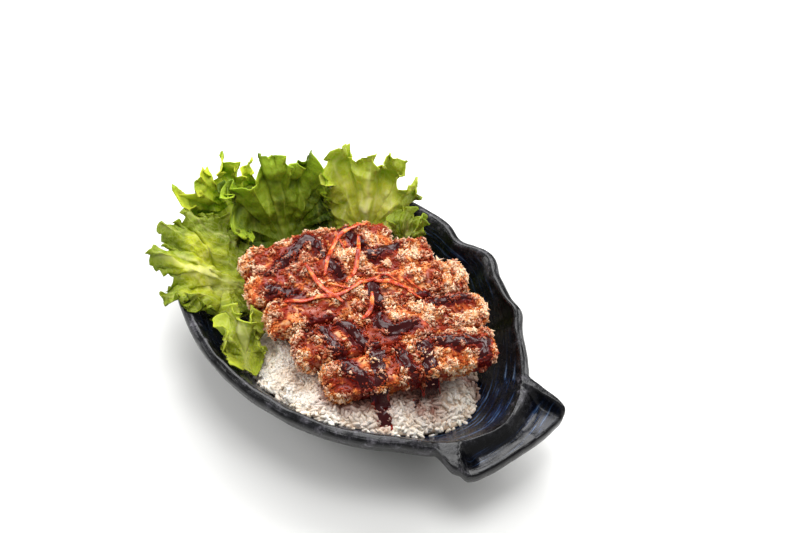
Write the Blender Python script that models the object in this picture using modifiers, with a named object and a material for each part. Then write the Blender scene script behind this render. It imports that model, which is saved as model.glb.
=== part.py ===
"""Katsudon: a sliced, breaded cutlet on rice with leaf lettuce, in a leaf-shaped stoneware dish.

Units are metres and +Z is up. The origin is the middle of the dish's flat foot. +X points along
the dish to its tail-shaped handle, and the rice shows on the -Y side.
"""

import math
import random

import bmesh
import bpy
from mathutils import Matrix, Vector, noise
from mathutils.bvhtree import BVHTree

MM = 0.001

# Dish
RIM_HEIGHT = 53.0 * MM
LIP_HEIGHT = 46.5 * MM
WALL = 6.0 * MM
FLOOR = 6.0 * MM
CAVITY_HALF_WIDTH = 81.8 * MM
CAVITY_HEAD = 117.0 * MM
CAVITY_TAIL = 120.0 * MM
HEAD_POWER = 2.05
TAIL_POWER = 1.72
FLAT_FLOOR = 0.45
WALL_POWER = 1.7
FOOT_SHARE = 0.585
DISH_SEGMENTS = 84

# Tail: its end slants, so that it reaches further on the far side, and bows a little. A side spans
# the angles from the notch, where the tail starts, to where it has its full length.
TAIL_END = 138.5 * MM
TAIL_SLANT = 0.31 * MM
TAIL_BOW = 0.004 * MM
FAR_NOTCH_DEG, FAR_SIDE_DEG = 17.8, 12.8
NEAR_NOTCH_DEG, NEAR_SIDE_DEG = 20.8, 18.6
TAIL_DENSITY = 2.3

# The tail's near corner is rounded off by this much, over these degrees
CORNER_ROUND = 9.0 * MM
CORNER_FROM_DEG, CORNER_DEG = 13.0, 6.2

# The ridges' inner edges, as angles at the lip and at the tail's end, and the channel between them
FAR_RIDGE_DEG = (13.0, 11.5)
NEAR_RIDGE_DEG = (11.8, 15.8)
RIDGE_STEP_DEG = 1.8
RIDGE_RISE = 1.0 * MM
RIDGE_FALL = 2.2 * MM
CHANNEL_DEPTH = 7.5 * MM
CHANNEL_RISE = 1.5 * MM
FAR_POCKET = 2.0 * MM

# Rim lobes: angle in degrees, change of radius, change of height, half width in degrees
RIM_LOBES = (
    (80.0, -3.6 * MM, -1.4 * MM, 7.0),
    (65.0, 4.4 * MM, 2.0 * MM, 6.5),
    (38.5, 2.4 * MM, 1.4 * MM, 4.0),
    (28.0, -0.8 * MM, -0.8 * MM, 6.0),
    (-55.0, 1.6 * MM, 0.8 * MM, 12.0),
    (-78.0, -0.8 * MM, -0.8 * MM, 6.0),
    (-108.0, 0.8 * MM, 0.9 * MM, 8.0),
    (-30.0, -0.6 * MM, -0.6 * MM, 5.0),
)

# The section's points: shares of the way out over the cavity, over the rim or tail, and back under
CAVITY_SHARES = (0.22, 0.45, 0.60, 0.72, 0.82, 0.91, 0.97)
RIM_SHARES = (0.0, 0.2, 0.42, 0.62, 0.82, 1.0)
UNDER_SHARES = (0.95, 0.87, 0.78, 0.69, 0.61)
SHELL_THICKNESS = 7.5 * MM
LEAST_UNDERSIDE = 3.0 * MM

# Rice mound
RICE_CENTRE = Vector((8.0 * MM, -14.0 * MM))
RICE_TO_TAIL = 85.0 * MM
RICE_TAIL_POWER = 2.8
RICE_TO_HEAD = 66.0 * MM
RICE_TO_NEAR = 61.0 * MM
RICE_TO_FAR = 56.0 * MM
RICE_CREST = 50.0 * MM
RICE_EDGE = 3.0 * MM
RICE_BUMP = 1.3 * MM
RICE_ROUNDING = 2.8
RICE_TOP_SHARES = (0.32, 0.52, 0.64, 0.73, 0.81, 0.88, 0.94, 1.0)
RICE_UNDER_SHARES = (0.97, 0.75, 0.5, 0.25)
GRAIN_LENGTH = 7.4 * MM
GRAIN_WIDTH = 2.9 * MM
LOOSE_GRAINS = 48

# Cutlet
SLICE_HEADING = math.radians(61.0)
SLICE_LEAN = math.radians(10.0)
CRUST_RELIEF = 1.7 * MM
CRUST_SWELL = 1.3 * MM
CUT_RELIEF = 0.25 * MM
SAUCE_RELIEF = 0.9 * MM
SAUCE_HALF_WIDTH = 4.0 * MM

# Each slice: name, middle in X and Y, underside's height, length, width, thickness, and the side
# that is crust and not cut: -1 towards the tail, 1 towards the head, 0 neither
SLICES = (
    ("cutlet_slice_1", 61.5 * MM, -12.5 * MM, 44.5 * MM, 100.0 * MM, 22.6 * MM, 17.5 * MM, -1),
    ("cutlet_slice_2", 38.5 * MM, -5.0 * MM, 48.0 * MM, 112.0 * MM, 22.8 * MM, 18.5 * MM, 0),
    ("cutlet_slice_3", 13.5 * MM, 1.0 * MM, 50.5 * MM, 118.0 * MM, 22.6 * MM, 18.5 * MM, 0),
    ("cutlet_slice_4", -11.0 * MM, 3.0 * MM, 51.0 * MM, 110.0 * MM, 20.8 * MM, 18.0 * MM, 0),
    ("cutlet_slice_5", -34.0 * MM, 6.0 * MM, 51.0 * MM, 90.0 * MM, 20.6 * MM, 16.5 * MM, 1),
)

# Where the thick sauce was poured: each line's route in plan, in millimetres
SAUCE_LINES = (
    ((8, -35), (16, -36), (31, -39), (43, -42), (58, -42)),
    ((52, -14), (69, -18), (80, -22)),
    ((62, 5), (75, 13), (84, 25), (92, 16)),
    ((13, 6), (26, -3), (34, -10), (44, -8), (48, 4)),
    ((-38, -29), (-38, -17), (-41, 5), (-32, 6), (-23, 3), (-7, -1)),
    ((-28, -37), (-21, -33), (-13, -28)),
    ((-34, 27), (-15, 24), (-1, 22), (0, 37)),
    ((39, 22), (48, 25), (57, 38)),
    ((9, -41), (11, -28), (23, -24), (37, -25), (49, -22)),
)

# What lies on something keeps this gap to it, and the bumpy rice keeps the larger one
GAP = 0.45 * MM
UNDER_CUTLET = 0.9 * MM
SKY = 200.0 * MM


def smoothstep(value):
    """0 below 0, 1 above 1, and a smooth rise between."""
    t = min(1.0, max(0.0, value))
    return t * t * (3.0 - 2.0 * t)


def mix(a, b, share):
    return a + (b - a) * share


def lobe_sum(angle, column):
    """What the rim's lobes add at an angle: column 1 is radius, column 2 is height."""
    total = 0.0
    for lobe in RIM_LOBES:
        gap = (math.degrees(angle) - lobe[0] + 180.0) % 360.0 - 180.0
        total += lobe[column] * math.exp(-((gap / lobe[3]) ** 2))
    return total


def turned(angle):
    """Degrees away from the tail's middle, -180 to 180; the far side is positive."""
    return (math.degrees(angle) + 180.0) % 360.0 - 180.0


def cavity_radius(angle):
    """The rim's inner edge: an oval that is blunt at the head and drawn out to the tail."""
    c, s = math.cos(angle), math.sin(angle)
    reach, power = (CAVITY_TAIL, TAIL_POWER) if c > 0 else (CAVITY_HEAD, HEAD_POWER)
    oval = (abs(c / reach) ** power + abs(s / CAVITY_HALF_WIDTH) ** power) ** (-1.0 / power)
    return oval + lobe_sum(angle, 1)


def tail_share(angle):
    """1 across the tail, 0 round the rest of the rim."""
    turn = turned(angle)
    notch, side = (FAR_NOTCH_DEG, FAR_SIDE_DEG) if turn > 0.0 else (NEAR_NOTCH_DEG, NEAR_SIDE_DEG)
    return smoothstep((notch - abs(turn)) / (notch - side))


def body_radius(angle):
    return cavity_radius(angle) + WALL


def outline_radius(angle):
    """The outer edge, tail included."""
    turn = min(FAR_NOTCH_DEG, max(-NEAR_NOTCH_DEG, turned(angle)))
    tail = TAIL_END + TAIL_SLANT * turn + TAIL_BOW * turn ** 2
    tail -= CORNER_ROUND * max(0.0, (-turn - CORNER_FROM_DEG) / CORNER_DEG) ** 2
    return mix(body_radius(angle), tail, tail_share(angle))


def crest_height(angle):
    """The rim's top, which dips to a lip where the cavity meets the tail."""
    dip = smoothstep((34.0 - abs(turned(angle))) / 22.0)
    return mix(RIM_HEIGHT + lobe_sum(angle, 2), LIP_HEIGHT, dip)


def cavity_height(share, angle):
    """Height of the cavity's surface at a share of the way out to its edge."""
    rise = max(0.0, (share - FLAT_FLOOR) / (1.0 - FLAT_FLOOR)) ** WALL_POWER
    return FLOOR + (crest_height(angle) - 2.0 * MM - FLOOR) * rise


def tail_top(share, angle):
    """Top of the tail from the lip (0) to its outer edge (1): a channel between two side ridges."""
    turn = turned(angle)
    at_lip, at_end = FAR_RIDGE_DEG if turn > 0.0 else NEAR_RIDGE_DEG
    side = smoothstep((abs(turn) - mix(at_lip, at_end, share)) / RIDGE_STEP_DEG)
    depth = CHANNEL_DEPTH + FAR_POCKET * smoothstep((turn + 2.0) / 14.0)
    channel = CHANNEL_RISE * smoothstep(2.0 * share - 1.0) - depth * (1.0 - math.exp(-((share / 0.3) ** 2)))
    ridge = RIDGE_RISE - RIDGE_FALL * share ** 2
    return LIP_HEIGHT + mix(channel, ridge, side)


def dish_profile(angle):
    """(radius, height) down the dish's section: cavity, rim or tail, outer wall, foot."""
    inner, body, outer = cavity_radius(angle), body_radius(angle), outline_radius(angle)
    crest, tail = crest_height(angle), tail_share(angle)
    edge = inner - 1.0 * MM
    points = [(edge * share, cavity_height(share, angle)) for share in CAVITY_SHARES]
    points.append((inner + 0.2 * MM, crest - 0.7 * MM))
    start, stop = inner + 2.0 * MM, outer - 1.2 * MM
    for share in RIM_SHARES:
        plain = crest - 0.9 * MM * share ** 2
        points.append((mix(start, stop, share), mix(plain, tail_top(share, angle), tail)))
    edge_top = points[-1][1]
    points.append((outer, edge_top - 2.2 * MM))
    points.append((outer - 0.4 * MM, edge_top - mix(5.5, 6.5, tail) * MM))
    points.append((mix(body - 1.2 * MM, outer - 3.5 * MM, tail), edge_top - mix(9.0, 8.5, tail) * MM))
    for share in UNDER_SHARES:
        points.append((body * share, max(LEAST_UNDERSIDE, cavity_height(share, angle) - SHELL_THICKNESS)))
    points.append((body * FOOT_SHARE, 0.0))
    return points


def spaced_angles(count):
    """Angles that step evenly along the dish's outer edge, and more closely round the tail."""
    fine = [2.0 * math.pi * i / 2880 for i in range(2881)]
    edge = [Vector((outline_radius(a) * math.cos(a), outline_radius(a) * math.sin(a))) for a in fine]
    along = [0.0]
    for angle, before, after in zip(fine, edge, edge[1:]):
        density = TAIL_DENSITY if abs(turned(angle)) < NEAR_NOTCH_DEG else 1.0
        along.append(along[-1] + (after - before).length * density)
    angles, i = [], 0
    for step in range(count):
        goal = along[-1] * step / count
        while along[i + 1] < goal:
            i += 1
        angles.append(fine[i])
    return angles


def new_object(name, mesh, material, collection):
    thing = bpy.data.objects.new(name, mesh)
    collection.objects.link(thing)
    mesh.materials.append(material)
    return thing


def skin(name, rings, top=None, bottom=None):
    """A closed mesh through rings of equal length, each end closed by a fan to its middle point."""
    work = bmesh.new()
    loops = [[work.verts.new(p) for p in ring] for ring in rings]
    count = len(rings[0])
    for upper, lower in zip(loops, loops[1:]):
        for i in range(count):
            j = (i + 1) % count
            work.faces.new((upper[i], upper[j], lower[j], lower[i]))
    for ring, middle in ((loops[0], top), (loops[-1], bottom)):
        point = middle if middle is not None else sum((v.co for v in ring), Vector()) / count
        tip = work.verts.new(point)
        for i in range(count):
            work.faces.new((tip, ring[i], ring[(i + 1) % count]))
    bmesh.ops.recalc_face_normals(work, faces=work.faces)
    bmesh.ops.triangulate(work, faces=work.faces)
    mesh = bpy.data.meshes.new(name)
    work.to_mesh(mesh)
    work.free()
    return mesh


def smooth(thing, degrees=40.0):
    thing.data.shade_smooth()
    thing.data.set_sharp_from_angle(angle=math.radians(degrees))


def make_material(name, colour, roughness):
    material = bpy.data.materials.new(name)
    material.use_nodes = True
    shader = material.node_tree.nodes["Principled BSDF"]
    shader.inputs["Base Color"].default_value = (*colour, 1.0)
    shader.inputs["Roughness"].default_value = roughness
    shader.inputs["Metallic"].default_value = 0.0
    return material


def build_dish(collection, material):
    angles = spaced_angles(DISH_SEGMENTS)
    profiles = [dish_profile(a) for a in angles]
    rings = []
    for level in range(len(profiles[0])):
        ring = [
            (p[level][0] * math.cos(a), p[level][0] * math.sin(a), p[level][1])
            for a, p in zip(angles, profiles)
        ]
        rings.append(ring)
    mesh = skin("dish", rings, top=(0.0, 0.0, FLOOR), bottom=(0.0, 0.0, 0.0))
    dish = new_object("dish", mesh, material, collection)
    smooth(dish)
    return dish


def slice_section(share):
    """Half width and half height of a slice at a share of its half length, 0 middle to 1 tip."""
    taper = max(0.0, 1.0 - abs(share) ** 5) ** 0.5
    return mix(0.55, 1.0, taper), mix(0.34, 1.0, taper)


def distance_to_route(x, y, route):
    """Distance in plan from a point to a route given in millimetres."""
    nearest = 1.0
    point = Vector((x, y))
    for start, end in zip(route, route[1:]):
        a, b = Vector(start) * MM, Vector(end) * MM
        along = (point - a).dot(b - a) / (b - a).length_squared
        nearest = min(nearest, (point - a.lerp(b, min(1.0, max(0.0, along)))).length)
    return nearest


def sauce_at(x, y):
    """1 in the middle of a sauce line, 0 beside it."""
    nearest = min(distance_to_route(x, y, route) for route in SAUCE_LINES)
    return smoothstep(1.4 - nearest / SAUCE_HALF_WIDTH)


def build_slice(collection, material, name, x, y, floor, length, width, thickness, crust_side, seed):
    """One strip of the cutlet: crusty on top, underneath and at the ends, smoother where it was cut."""
    stations, round_count = 15, 16
    turn = Matrix.Rotation(SLICE_HEADING, 4, "Z")
    rings = []
    for i in range(stations):
        t = math.sin(math.pi * (i / (stations - 1) - 0.5)) * 0.5 + (i / (stations - 1) - 0.5)
        wide, high = slice_section(t)
        ring = []
        for j in range(round_count):
            a = 2.0 * math.pi * j / round_count
            box = (abs(math.cos(a)) ** 5 + abs(math.sin(a)) ** 5) ** (-0.2)
            across, up = box * math.cos(a), box * math.sin(a)
            point = Vector((t * length / 2.0, across * wide * width / 2.0, up * high * thickness / 2.0))
            cut = 0.0 if across * crust_side > 0.0 else smoothstep((0.95 - abs(t)) / 0.15)
            cut *= min(1.0, max(0.0, abs(across) - 0.6) / 0.4)
            relief = mix(CRUST_RELIEF, CUT_RELIEF, cut)
            bump = noise.noise(point / (7.0 * MM) + Vector((seed * 7.3, 0.0, 0.0)))
            bump += 0.6 * noise.noise(point / (3.5 * MM) + Vector((0.0, seed * 5.1, 0.0)))
            swell = noise.noise(point / (16.0 * MM) + Vector((0.0, 0.0, seed * 3.9)))
            swell *= CRUST_SWELL * (1.0 - cut)
            outward = Vector((0.0, across, up)).normalized()
            place = turn @ point
            sauce = SAUCE_RELIEF * sauce_at(x + place.x, y + place.y) * max(0.0, up)
            ring.append(point + outward * (relief * bump + swell) + Vector((0.0, 0.0, sauce)))
        rings.append(ring)
    mesh = skin(name, rings)
    piece = new_object(name, mesh, material, collection)
    mesh.transform(Matrix.Rotation(SLICE_LEAN, 4, "X"))
    lowest = min(v.co.z for v in mesh.vertices)
    mesh.transform(turn)
    piece.location = (x, y, floor - lowest)
    smooth(piece, 60.0)
    return piece


def world_tree(things):
    """One tree of the triangles of several objects, in world space."""
    points, faces = [], []
    for thing in things:
        base = len(points)
        points += [thing.matrix_world @ v.co for v in thing.data.vertices]
        faces += [[base + i for i in p.vertices] for p in thing.data.polygons]
    return BVHTree.FromPolygons(points, faces)


def height_above(tree, x, y):
    """The highest surface at a place in plan."""
    hit = tree.ray_cast(Vector((x, y, SKY)), Vector((0.0, 0.0, -1.0)))[0]
    return None if hit is None else hit.z


def height_below(tree, x, y):
    """The lowest surface at a place in plan."""
    hit = tree.ray_cast(Vector((x, y, 0.0)), Vector((0.0, 0.0, 1.0)))[0]
    return None if hit is None else hit.z


def circle_round(x, y, reach, count=8):
    """Points on a circle in plan."""
    turns = [2.0 * math.pi * i / count for i in range(count)]
    return [(x + reach * math.cos(turn), y + reach * math.sin(turn)) for turn in turns]


def rice_reach(angle):
    """How far the mound reaches from its middle at an angle."""
    c, s = math.cos(angle), math.sin(angle)
    along = RICE_TO_TAIL if c > 0 else RICE_TO_HEAD
    across = RICE_TO_FAR if s > 0 else RICE_TO_NEAR
    wave = 1.0 + 0.025 * math.sin(5.0 * angle + 0.6) + 0.02 * math.sin(11.0 * angle)
    power = RICE_TAIL_POWER if c > 0 and s > 0 else 2.0
    return wave * (abs(c / along) ** power + abs(s / across) ** power) ** (-1.0 / power)


def rice_angles():
    """Fine steps where the rice shows, coarse ones where the cutlet and lettuce cover it."""
    angles, degrees = [], -165.0
    while degrees < 193.0:
        angles.append(math.radians(degrees))
        degrees += 4.0 if degrees < 15.0 else 11.25
    return angles


def rice_place(angle, share):
    reach = rice_reach(angle) * share
    return RICE_CENTRE.x + reach * math.cos(angle), RICE_CENTRE.y + reach * math.sin(angle)


def rice_ceiling(tree, x, y):
    """The lowest underside of the cutlet within a few millimetres, less the gap."""
    hits = [height_below(tree, *spot) for spot in [(x, y)] + circle_round(x, y, 4.0 * MM)]
    found = [hit - UNDER_CUTLET for hit in hits if hit is not None]
    return min(found) if found else None


def build_rice_core(tree, dish_tree, draw):
    """The mound: bumpy above, and below it follows the dish at the gap."""
    angles = rice_angles()
    edge_heights = [height_above(dish_tree, *rice_place(a, 1.0)) + RICE_EDGE for a in angles]

    def place(angle, edge_height, share):
        x, y = rice_place(angle, share)
        z = mix(edge_height, RICE_CREST, max(0.0, 1.0 - share ** RICE_ROUNDING))
        z += RICE_BUMP * draw.uniform(-1.0, 1.0) * (1.0 if share < 1.0 else 0.4)
        ceiling = rice_ceiling(tree, x, y)
        return Vector((x, y, z if ceiling is None else min(z, ceiling)))

    rings = [[place(a, e, share) for a, e in zip(angles, edge_heights)] for share in RICE_TOP_SHARES]
    for share in RICE_UNDER_SHARES:
        spots = [rice_place(a, share) for a in angles]
        rings.append([Vector((x, y, height_above(dish_tree, x, y) + GAP)) for x, y in spots])
    middle = place(0.0, RICE_CREST, 0.0)
    foot = Vector((RICE_CENTRE.x, RICE_CENTRE.y, FLOOR + GAP))
    return skin("rice", rings, top=middle, bottom=foot)


def build_grain(collection, draw, x, y, z):
    """A cooked grain: a low sphere drawn out along its length."""
    work = bmesh.new()
    bmesh.ops.create_uvsphere(work, u_segments=5, v_segments=4, radius=0.5)
    turn = Matrix.Rotation(math.radians(90.0), 4, "Y")
    size = Matrix.Diagonal((GRAIN_LENGTH, GRAIN_WIDTH, GRAIN_WIDTH * 0.9, 1.0))
    spin = Matrix.Rotation(draw.uniform(0.0, math.pi), 4, "Z")
    tip = Matrix.Rotation(draw.uniform(-0.35, 0.35), 4, "Y")
    matrix = Matrix.Translation((x, y, z)) @ spin @ tip @ size @ turn
    bmesh.ops.transform(work, matrix=matrix, verts=work.verts)
    mesh = bpy.data.meshes.new("grain")
    work.to_mesh(mesh)
    work.free()
    grain = bpy.data.objects.new("grain", mesh)
    collection.objects.link(grain)
    return grain


def union_collection(thing, collection):
    """Joins a collection's objects to a thing, for good, and removes them."""
    join = thing.modifiers.new("join", "BOOLEAN")
    join.operation = "UNION"
    join.operand_type = "COLLECTION"
    join.collection = collection
    join.solver = "MANIFOLD"
    bpy.context.view_layer.update()
    seen = thing.evaluated_get(bpy.context.evaluated_depsgraph_get())
    joined = bpy.data.meshes.new_from_object(seen)
    thing.modifiers.clear()
    thing.data = joined
    for piece in list(collection.objects):
        bpy.data.objects.remove(piece)
    bpy.data.collections.remove(collection)


def add_loose_grains(rice, slices, clear_of):
    """Fuses true-size grains to the rice where it shows, clear of the cutlet, the leaves and the dish."""
    draw = random.Random(11)
    surface, others = world_tree([rice]), world_tree(slices + clear_of)
    grains = bpy.data.collections.new("grains")
    bpy.context.scene.collection.children.link(grains)
    made, tries = [], 0
    while len(made) < LOOSE_GRAINS and tries < 4000:
        tries += 1
        angle = math.radians(draw.uniform(-160.0, 8.0))
        x, y = rice_place(angle, draw.uniform(0.66, 0.97))
        spot = Vector((x, y, height_above(surface, x, y) + GRAIN_WIDTH * 0.2))
        if others.find_nearest(spot)[3] < GRAIN_LENGTH * 0.62:
            continue
        if any((spot - other).length < GRAIN_WIDTH * 2.0 for other in made):
            continue
        made.append(spot)
        build_grain(grains, draw, *spot)
    union_collection(rice, grains)
    smooth(rice, 60.0)


# Leaves: name, foot in millimetres, heading, length, spread to each side, radius at the foot,
# rise at the foot and at the edge, roll, cupping, skew, ruffles across, ruffle height, phase
LEAVES = (
    ("lettuce_left", (-55, -29, 34), 221, 62, 34, 18, 47, 2, 6, 0.3, 0.16, 3.2, 4.2, 1.7),
    ("lettuce_head", (-105, 2, 31), 176, 50, 20, 50, 70, 80, 0, 0.0, -0.2, 2.6, 4.0, 3.4),
    ("lettuce_back", (-60, 8, 15), 155, 80, 14, 66, 50, 78, 0, 0.2, 0.07, 2.0, 3.4, 2.2),
    ("lettuce_far", (-34, 42, 13), 123, 80, 18.5, 54, 48, 79, 0, 0.0, 0.0, 3.4, 4.6, 0.9),
    ("lettuce_tip", (-8, 50, 38), 100, 34, 14, 26, 68, 50, 0, 0.2, 0.0, 2.0, 2.4, 0.2),
    ("lettuce_near", (-10, -74, 38), 143, 40, 14, 30, 26, 50, 0, 0.3, 0.0, 2.0, 2.4, 1.1),
)
LEAF_THICKNESS = 0.9 * MM
LEAF_ACROSS = 16
LEAF_ALONG = 7
LEAF_CLEARANCE = 1.2 * MM
LEAF_LOBES = 0.08
LEAF_ROUNDING = 0.25
LEAF_STEPS = 6


def leaf_point(leaf, u, v):
    """A leaf's middle surface: u runs across from -1 to 1, v from the foot to the frilled edge."""
    _, foot, heading, length, spread, foot_radius, rise0, rise1, roll, cup, skew, waves, ruffle, phase = leaf
    ahead = Vector((math.cos(math.radians(heading)), math.sin(math.radians(heading)), 0.0))
    aside = Vector((-ahead.y, ahead.x, 0.0))
    lobes = LEAF_LOBES * math.sin(1.4 * math.pi * waves * u + phase)
    scallop = 1.0 - skew * u - LEAF_ROUNDING * u * u + lobes
    reach = (foot_radius + length * v * scallop) * MM
    fan = math.radians(spread * u)
    forward = reach * math.cos(fan) - foot_radius * MM
    across = reach * math.sin(fan)
    out = up = 0.0
    for i in range(LEAF_STEPS):
        rise = math.radians(mix(rise0, rise1, v * (i + 0.5) / LEAF_STEPS))
        out += forward * math.cos(rise) / LEAF_STEPS
        up += forward * math.sin(rise) / LEAF_STEPS
    rise = math.radians(mix(rise0, rise1, v))
    normal = -ahead * math.sin(rise) + Vector((0.0, 0.0, math.cos(rise)))
    wave = math.sin(math.pi * waves * u + phase) + 0.4 * math.sin(math.pi * waves * 1.8 * u + 2.0 * phase)
    lift = cup * abs(across) * u * u - across * math.tan(math.radians(roll)) + ruffle * MM * wave * v ** 1.4
    point = Vector(foot) * MM + ahead * out + aside * across + Vector((0.0, 0.0, up))
    return point + normal * lift


def lifted(point, tree):
    """The point, raised where needed to clear what lies under it and around it."""
    spots = [(point.x, point.y)]
    for reach in (3.5 * MM, 7.0 * MM):
        spots += circle_round(point.x, point.y, reach)
    floor = max(height_above(tree, x, y) or 0.0 for x, y in spots)
    return Vector((point.x, point.y, max(point.z, floor + LEAF_CLEARANCE)))


def build_leaf(collection, material, leaf, under):
    """A wavy sheet, split into triangles first so that Solidify gives both faces the same ones."""
    work = bmesh.new()
    rows = []
    for j in range(LEAF_ALONG + 1):
        row = []
        for i in range(LEAF_ACROSS + 1):
            point = leaf_point(leaf, 2.0 * i / LEAF_ACROSS - 1.0, j / LEAF_ALONG)
            row.append(work.verts.new(lifted(point, under)))
        rows.append(row)
    for low, high in zip(rows, rows[1:]):
        for i in range(LEAF_ACROSS):
            work.faces.new((low[i], low[i + 1], high[i + 1], high[i]))
    bmesh.ops.triangulate(work, faces=work.faces)
    mesh = bpy.data.meshes.new(leaf[0])
    work.to_mesh(mesh)
    work.free()
    thing = new_object(leaf[0], mesh, material, collection)
    shell = thing.modifiers.new("thickness", "SOLIDIFY")
    shell.thickness = LEAF_THICKNESS
    shell.offset = 0.0
    smooth(thing, 80.0)
    return thing


# Shreds: each is the plan route, in millimetres, of one strip of carrot lying on the cutlet
SHRED_WIDTH = 2.6 * MM
SHRED_THICKNESS = 1.3 * MM
SHREDS = (
    ((-22, 38), (-27, 26), (-26, 14), (-19, 2), (-11, -9)),
    ((-20, 28), (-9, 17), (-1, 6), (3, -5)),
    ((-24, -12), (-11, -15), (1, -16), (11, -15)),
    ((-14, -38), (-7, -31), (-2, -22), (6, -13), (9, 1), (14, 13)),
    ((12, 8), (22, 15), (33, 20)),
    ((17, 2), (24, -6), (27, -16)),
)


def build_shred(collection, material, name, route, tree):
    """A strip that lies on what is under it: a ribbon that follows a draped route."""
    points = []
    for (x0, y0), (x1, y1) in zip(route, route[1:]):
        points += [(mix(x0, x1, i / 3) * MM, mix(y0, y1, i / 3) * MM) for i in range(3)]
    points.append((route[-1][0] * MM, route[-1][1] * MM))
    under = []
    for x, y in points:
        hits = [height_above(tree, *spot) for spot in [(x, y)] + circle_round(x, y, SHRED_WIDTH * 0.75)]
        under.append(max(hit or 0.0 for hit in hits))
    rings = []
    for i, (x, y) in enumerate(points):
        before, after = points[max(0, i - 1)], points[min(len(points) - 1, i + 1)]
        along = Vector((after[0] - before[0], after[1] - before[1], 0.0)).normalized()
        across = Vector((-along.y, along.x, 0.0)) * SHRED_WIDTH * 0.5
        lift = Vector((0.0, 0.0, SHRED_THICKNESS * 0.5))
        height = max(under[max(0, i - 1): i + 2]) + GAP + SHRED_THICKNESS * 0.5
        middle = Vector((x, y, height))
        near, far = middle - across, middle + across
        rings.append([far - lift, far + lift, near + lift, near - lift])
    thing = new_object(name, skin(name, rings), material, collection)
    smooth(thing, 50.0)
    return thing


def main():
    for thing in list(bpy.data.objects):
        bpy.data.objects.remove(thing)
    katsudon = bpy.data.collections.new("katsudon")
    bpy.context.scene.collection.children.link(katsudon)

    stoneware = make_material("glazed_stoneware", (0.020, 0.022, 0.027), 0.30)
    cooked_rice = make_material("cooked_rice", (0.70, 0.63, 0.54), 0.50)
    breaded = make_material("fried_breadcrumb", (0.62, 0.27, 0.08), 0.70)
    green_leaf = make_material("green_leaf", (0.30, 0.42, 0.05), 0.45)
    carrot = make_material("carrot", (0.75, 0.16, 0.03), 0.40)

    dish = build_dish(katsudon, stoneware)
    slices = [build_slice(katsudon, breaded, *row, seed) for seed, row in enumerate(SLICES)]
    bpy.context.view_layer.update()

    rice_mesh = build_rice_core(world_tree(slices), world_tree([dish]), random.Random(7))
    rice = new_object("rice", rice_mesh, cooked_rice, katsudon)
    bpy.context.view_layer.update()

    under = world_tree([dish, rice])
    leaves = [build_leaf(katsudon, green_leaf, leaf, under) for leaf in LEAVES]
    bpy.context.view_layer.update()
    add_loose_grains(rice, slices, leaves)

    lying = list(slices)
    for number, route in enumerate(SHREDS, 1):
        shred = build_shred(katsudon, carrot, f"carrot_shred_{number}", route, world_tree(lying))
        bpy.context.view_layer.update()
        lying.append(shred)


main()
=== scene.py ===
# %% [markdown]
# # Katsudon in a leaf-shaped dish
# A breaded cutlet, cut into strips and drizzled with dark sauce, lies on cooked rice. Frilled leaf
# lettuce stands behind it and a few carrot shreds lie on top. The dish is hand-formed stoneware with
# a near-black glaze and a tail-shaped handle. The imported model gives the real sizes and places, and
# this notebook dresses each of its solids.

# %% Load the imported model
import math
import random
from collections import namedtuple

import bmesh
import bpy
import numpy as np
from mathutils import Matrix, Vector, noise
from mathutils.bvhtree import BVHTree


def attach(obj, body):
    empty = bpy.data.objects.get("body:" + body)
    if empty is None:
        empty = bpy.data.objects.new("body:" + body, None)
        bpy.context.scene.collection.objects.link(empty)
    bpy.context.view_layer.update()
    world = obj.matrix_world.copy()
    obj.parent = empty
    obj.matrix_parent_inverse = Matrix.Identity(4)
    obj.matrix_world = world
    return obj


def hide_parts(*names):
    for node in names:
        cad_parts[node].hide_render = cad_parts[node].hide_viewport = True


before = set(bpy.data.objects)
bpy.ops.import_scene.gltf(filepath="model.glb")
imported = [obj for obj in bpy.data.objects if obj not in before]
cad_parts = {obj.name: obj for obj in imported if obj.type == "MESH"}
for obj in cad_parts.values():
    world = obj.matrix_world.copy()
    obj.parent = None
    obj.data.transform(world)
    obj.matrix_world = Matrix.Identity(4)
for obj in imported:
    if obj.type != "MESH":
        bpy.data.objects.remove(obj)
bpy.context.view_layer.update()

MM = 0.001
print("packed solids:", len(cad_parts))

# %% [markdown]
# ## The camera and the light
# The photograph looks down at about fifty degrees over the side where the rice shows, with the tail
# towards the lower right. A mild telephoto lens at under a metre gives the same foreshortening. Food
# is mostly lit by one large soft source from behind, so that wet and glazed surfaces carry broad pale
# reflections, with a weaker fill from the front.

# %% Camera
CAMERA_PLACE = Vector((0.3449, -0.3190, 0.6313))
CAMERA_TARGET = Vector((-0.0269, 0.0716, 0.0))
LENS_MM = 56.25
SENSOR_MM = 36.0


def aim(thing, target):
    """Turns a camera or a light so that it looks at a point."""
    thing.rotation_euler = (target - thing.location).to_track_quat("-Z", "Y").to_euler()


camera_data = bpy.data.cameras.new("camera")
camera_data.lens = LENS_MM
camera_data.sensor_width = SENSOR_MM
camera = bpy.data.objects.new("camera", camera_data)
camera.location = CAMERA_PLACE
aim(camera, CAMERA_TARGET)
bpy.context.scene.collection.objects.link(camera)
bpy.context.scene.camera = camera
print("camera", round((CAMERA_PLACE - CAMERA_TARGET).length, 3), "m from the food")

# %% Softboxes and surroundings
FOOD_MIDDLE = Vector((0.0, 0.0, 0.04))
SURROUNDINGS_STRENGTH = 0.36
# Each softbox: name, place, side of its square, watts
SOFTBOXES = (
    ("softbox_behind", Vector((-0.45, 0.48, 0.75)), 0.65, 9.2),
    ("softbox_above", Vector((0.02, 0.06, 1.00)), 0.45, 4.4),
    ("softbox_left", Vector((-0.60, -0.45, 0.50)), 0.40, 3.0),
    ("softbox_right", Vector((0.30, 0.70, 0.52)), 0.40, 4.0),
)


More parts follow.
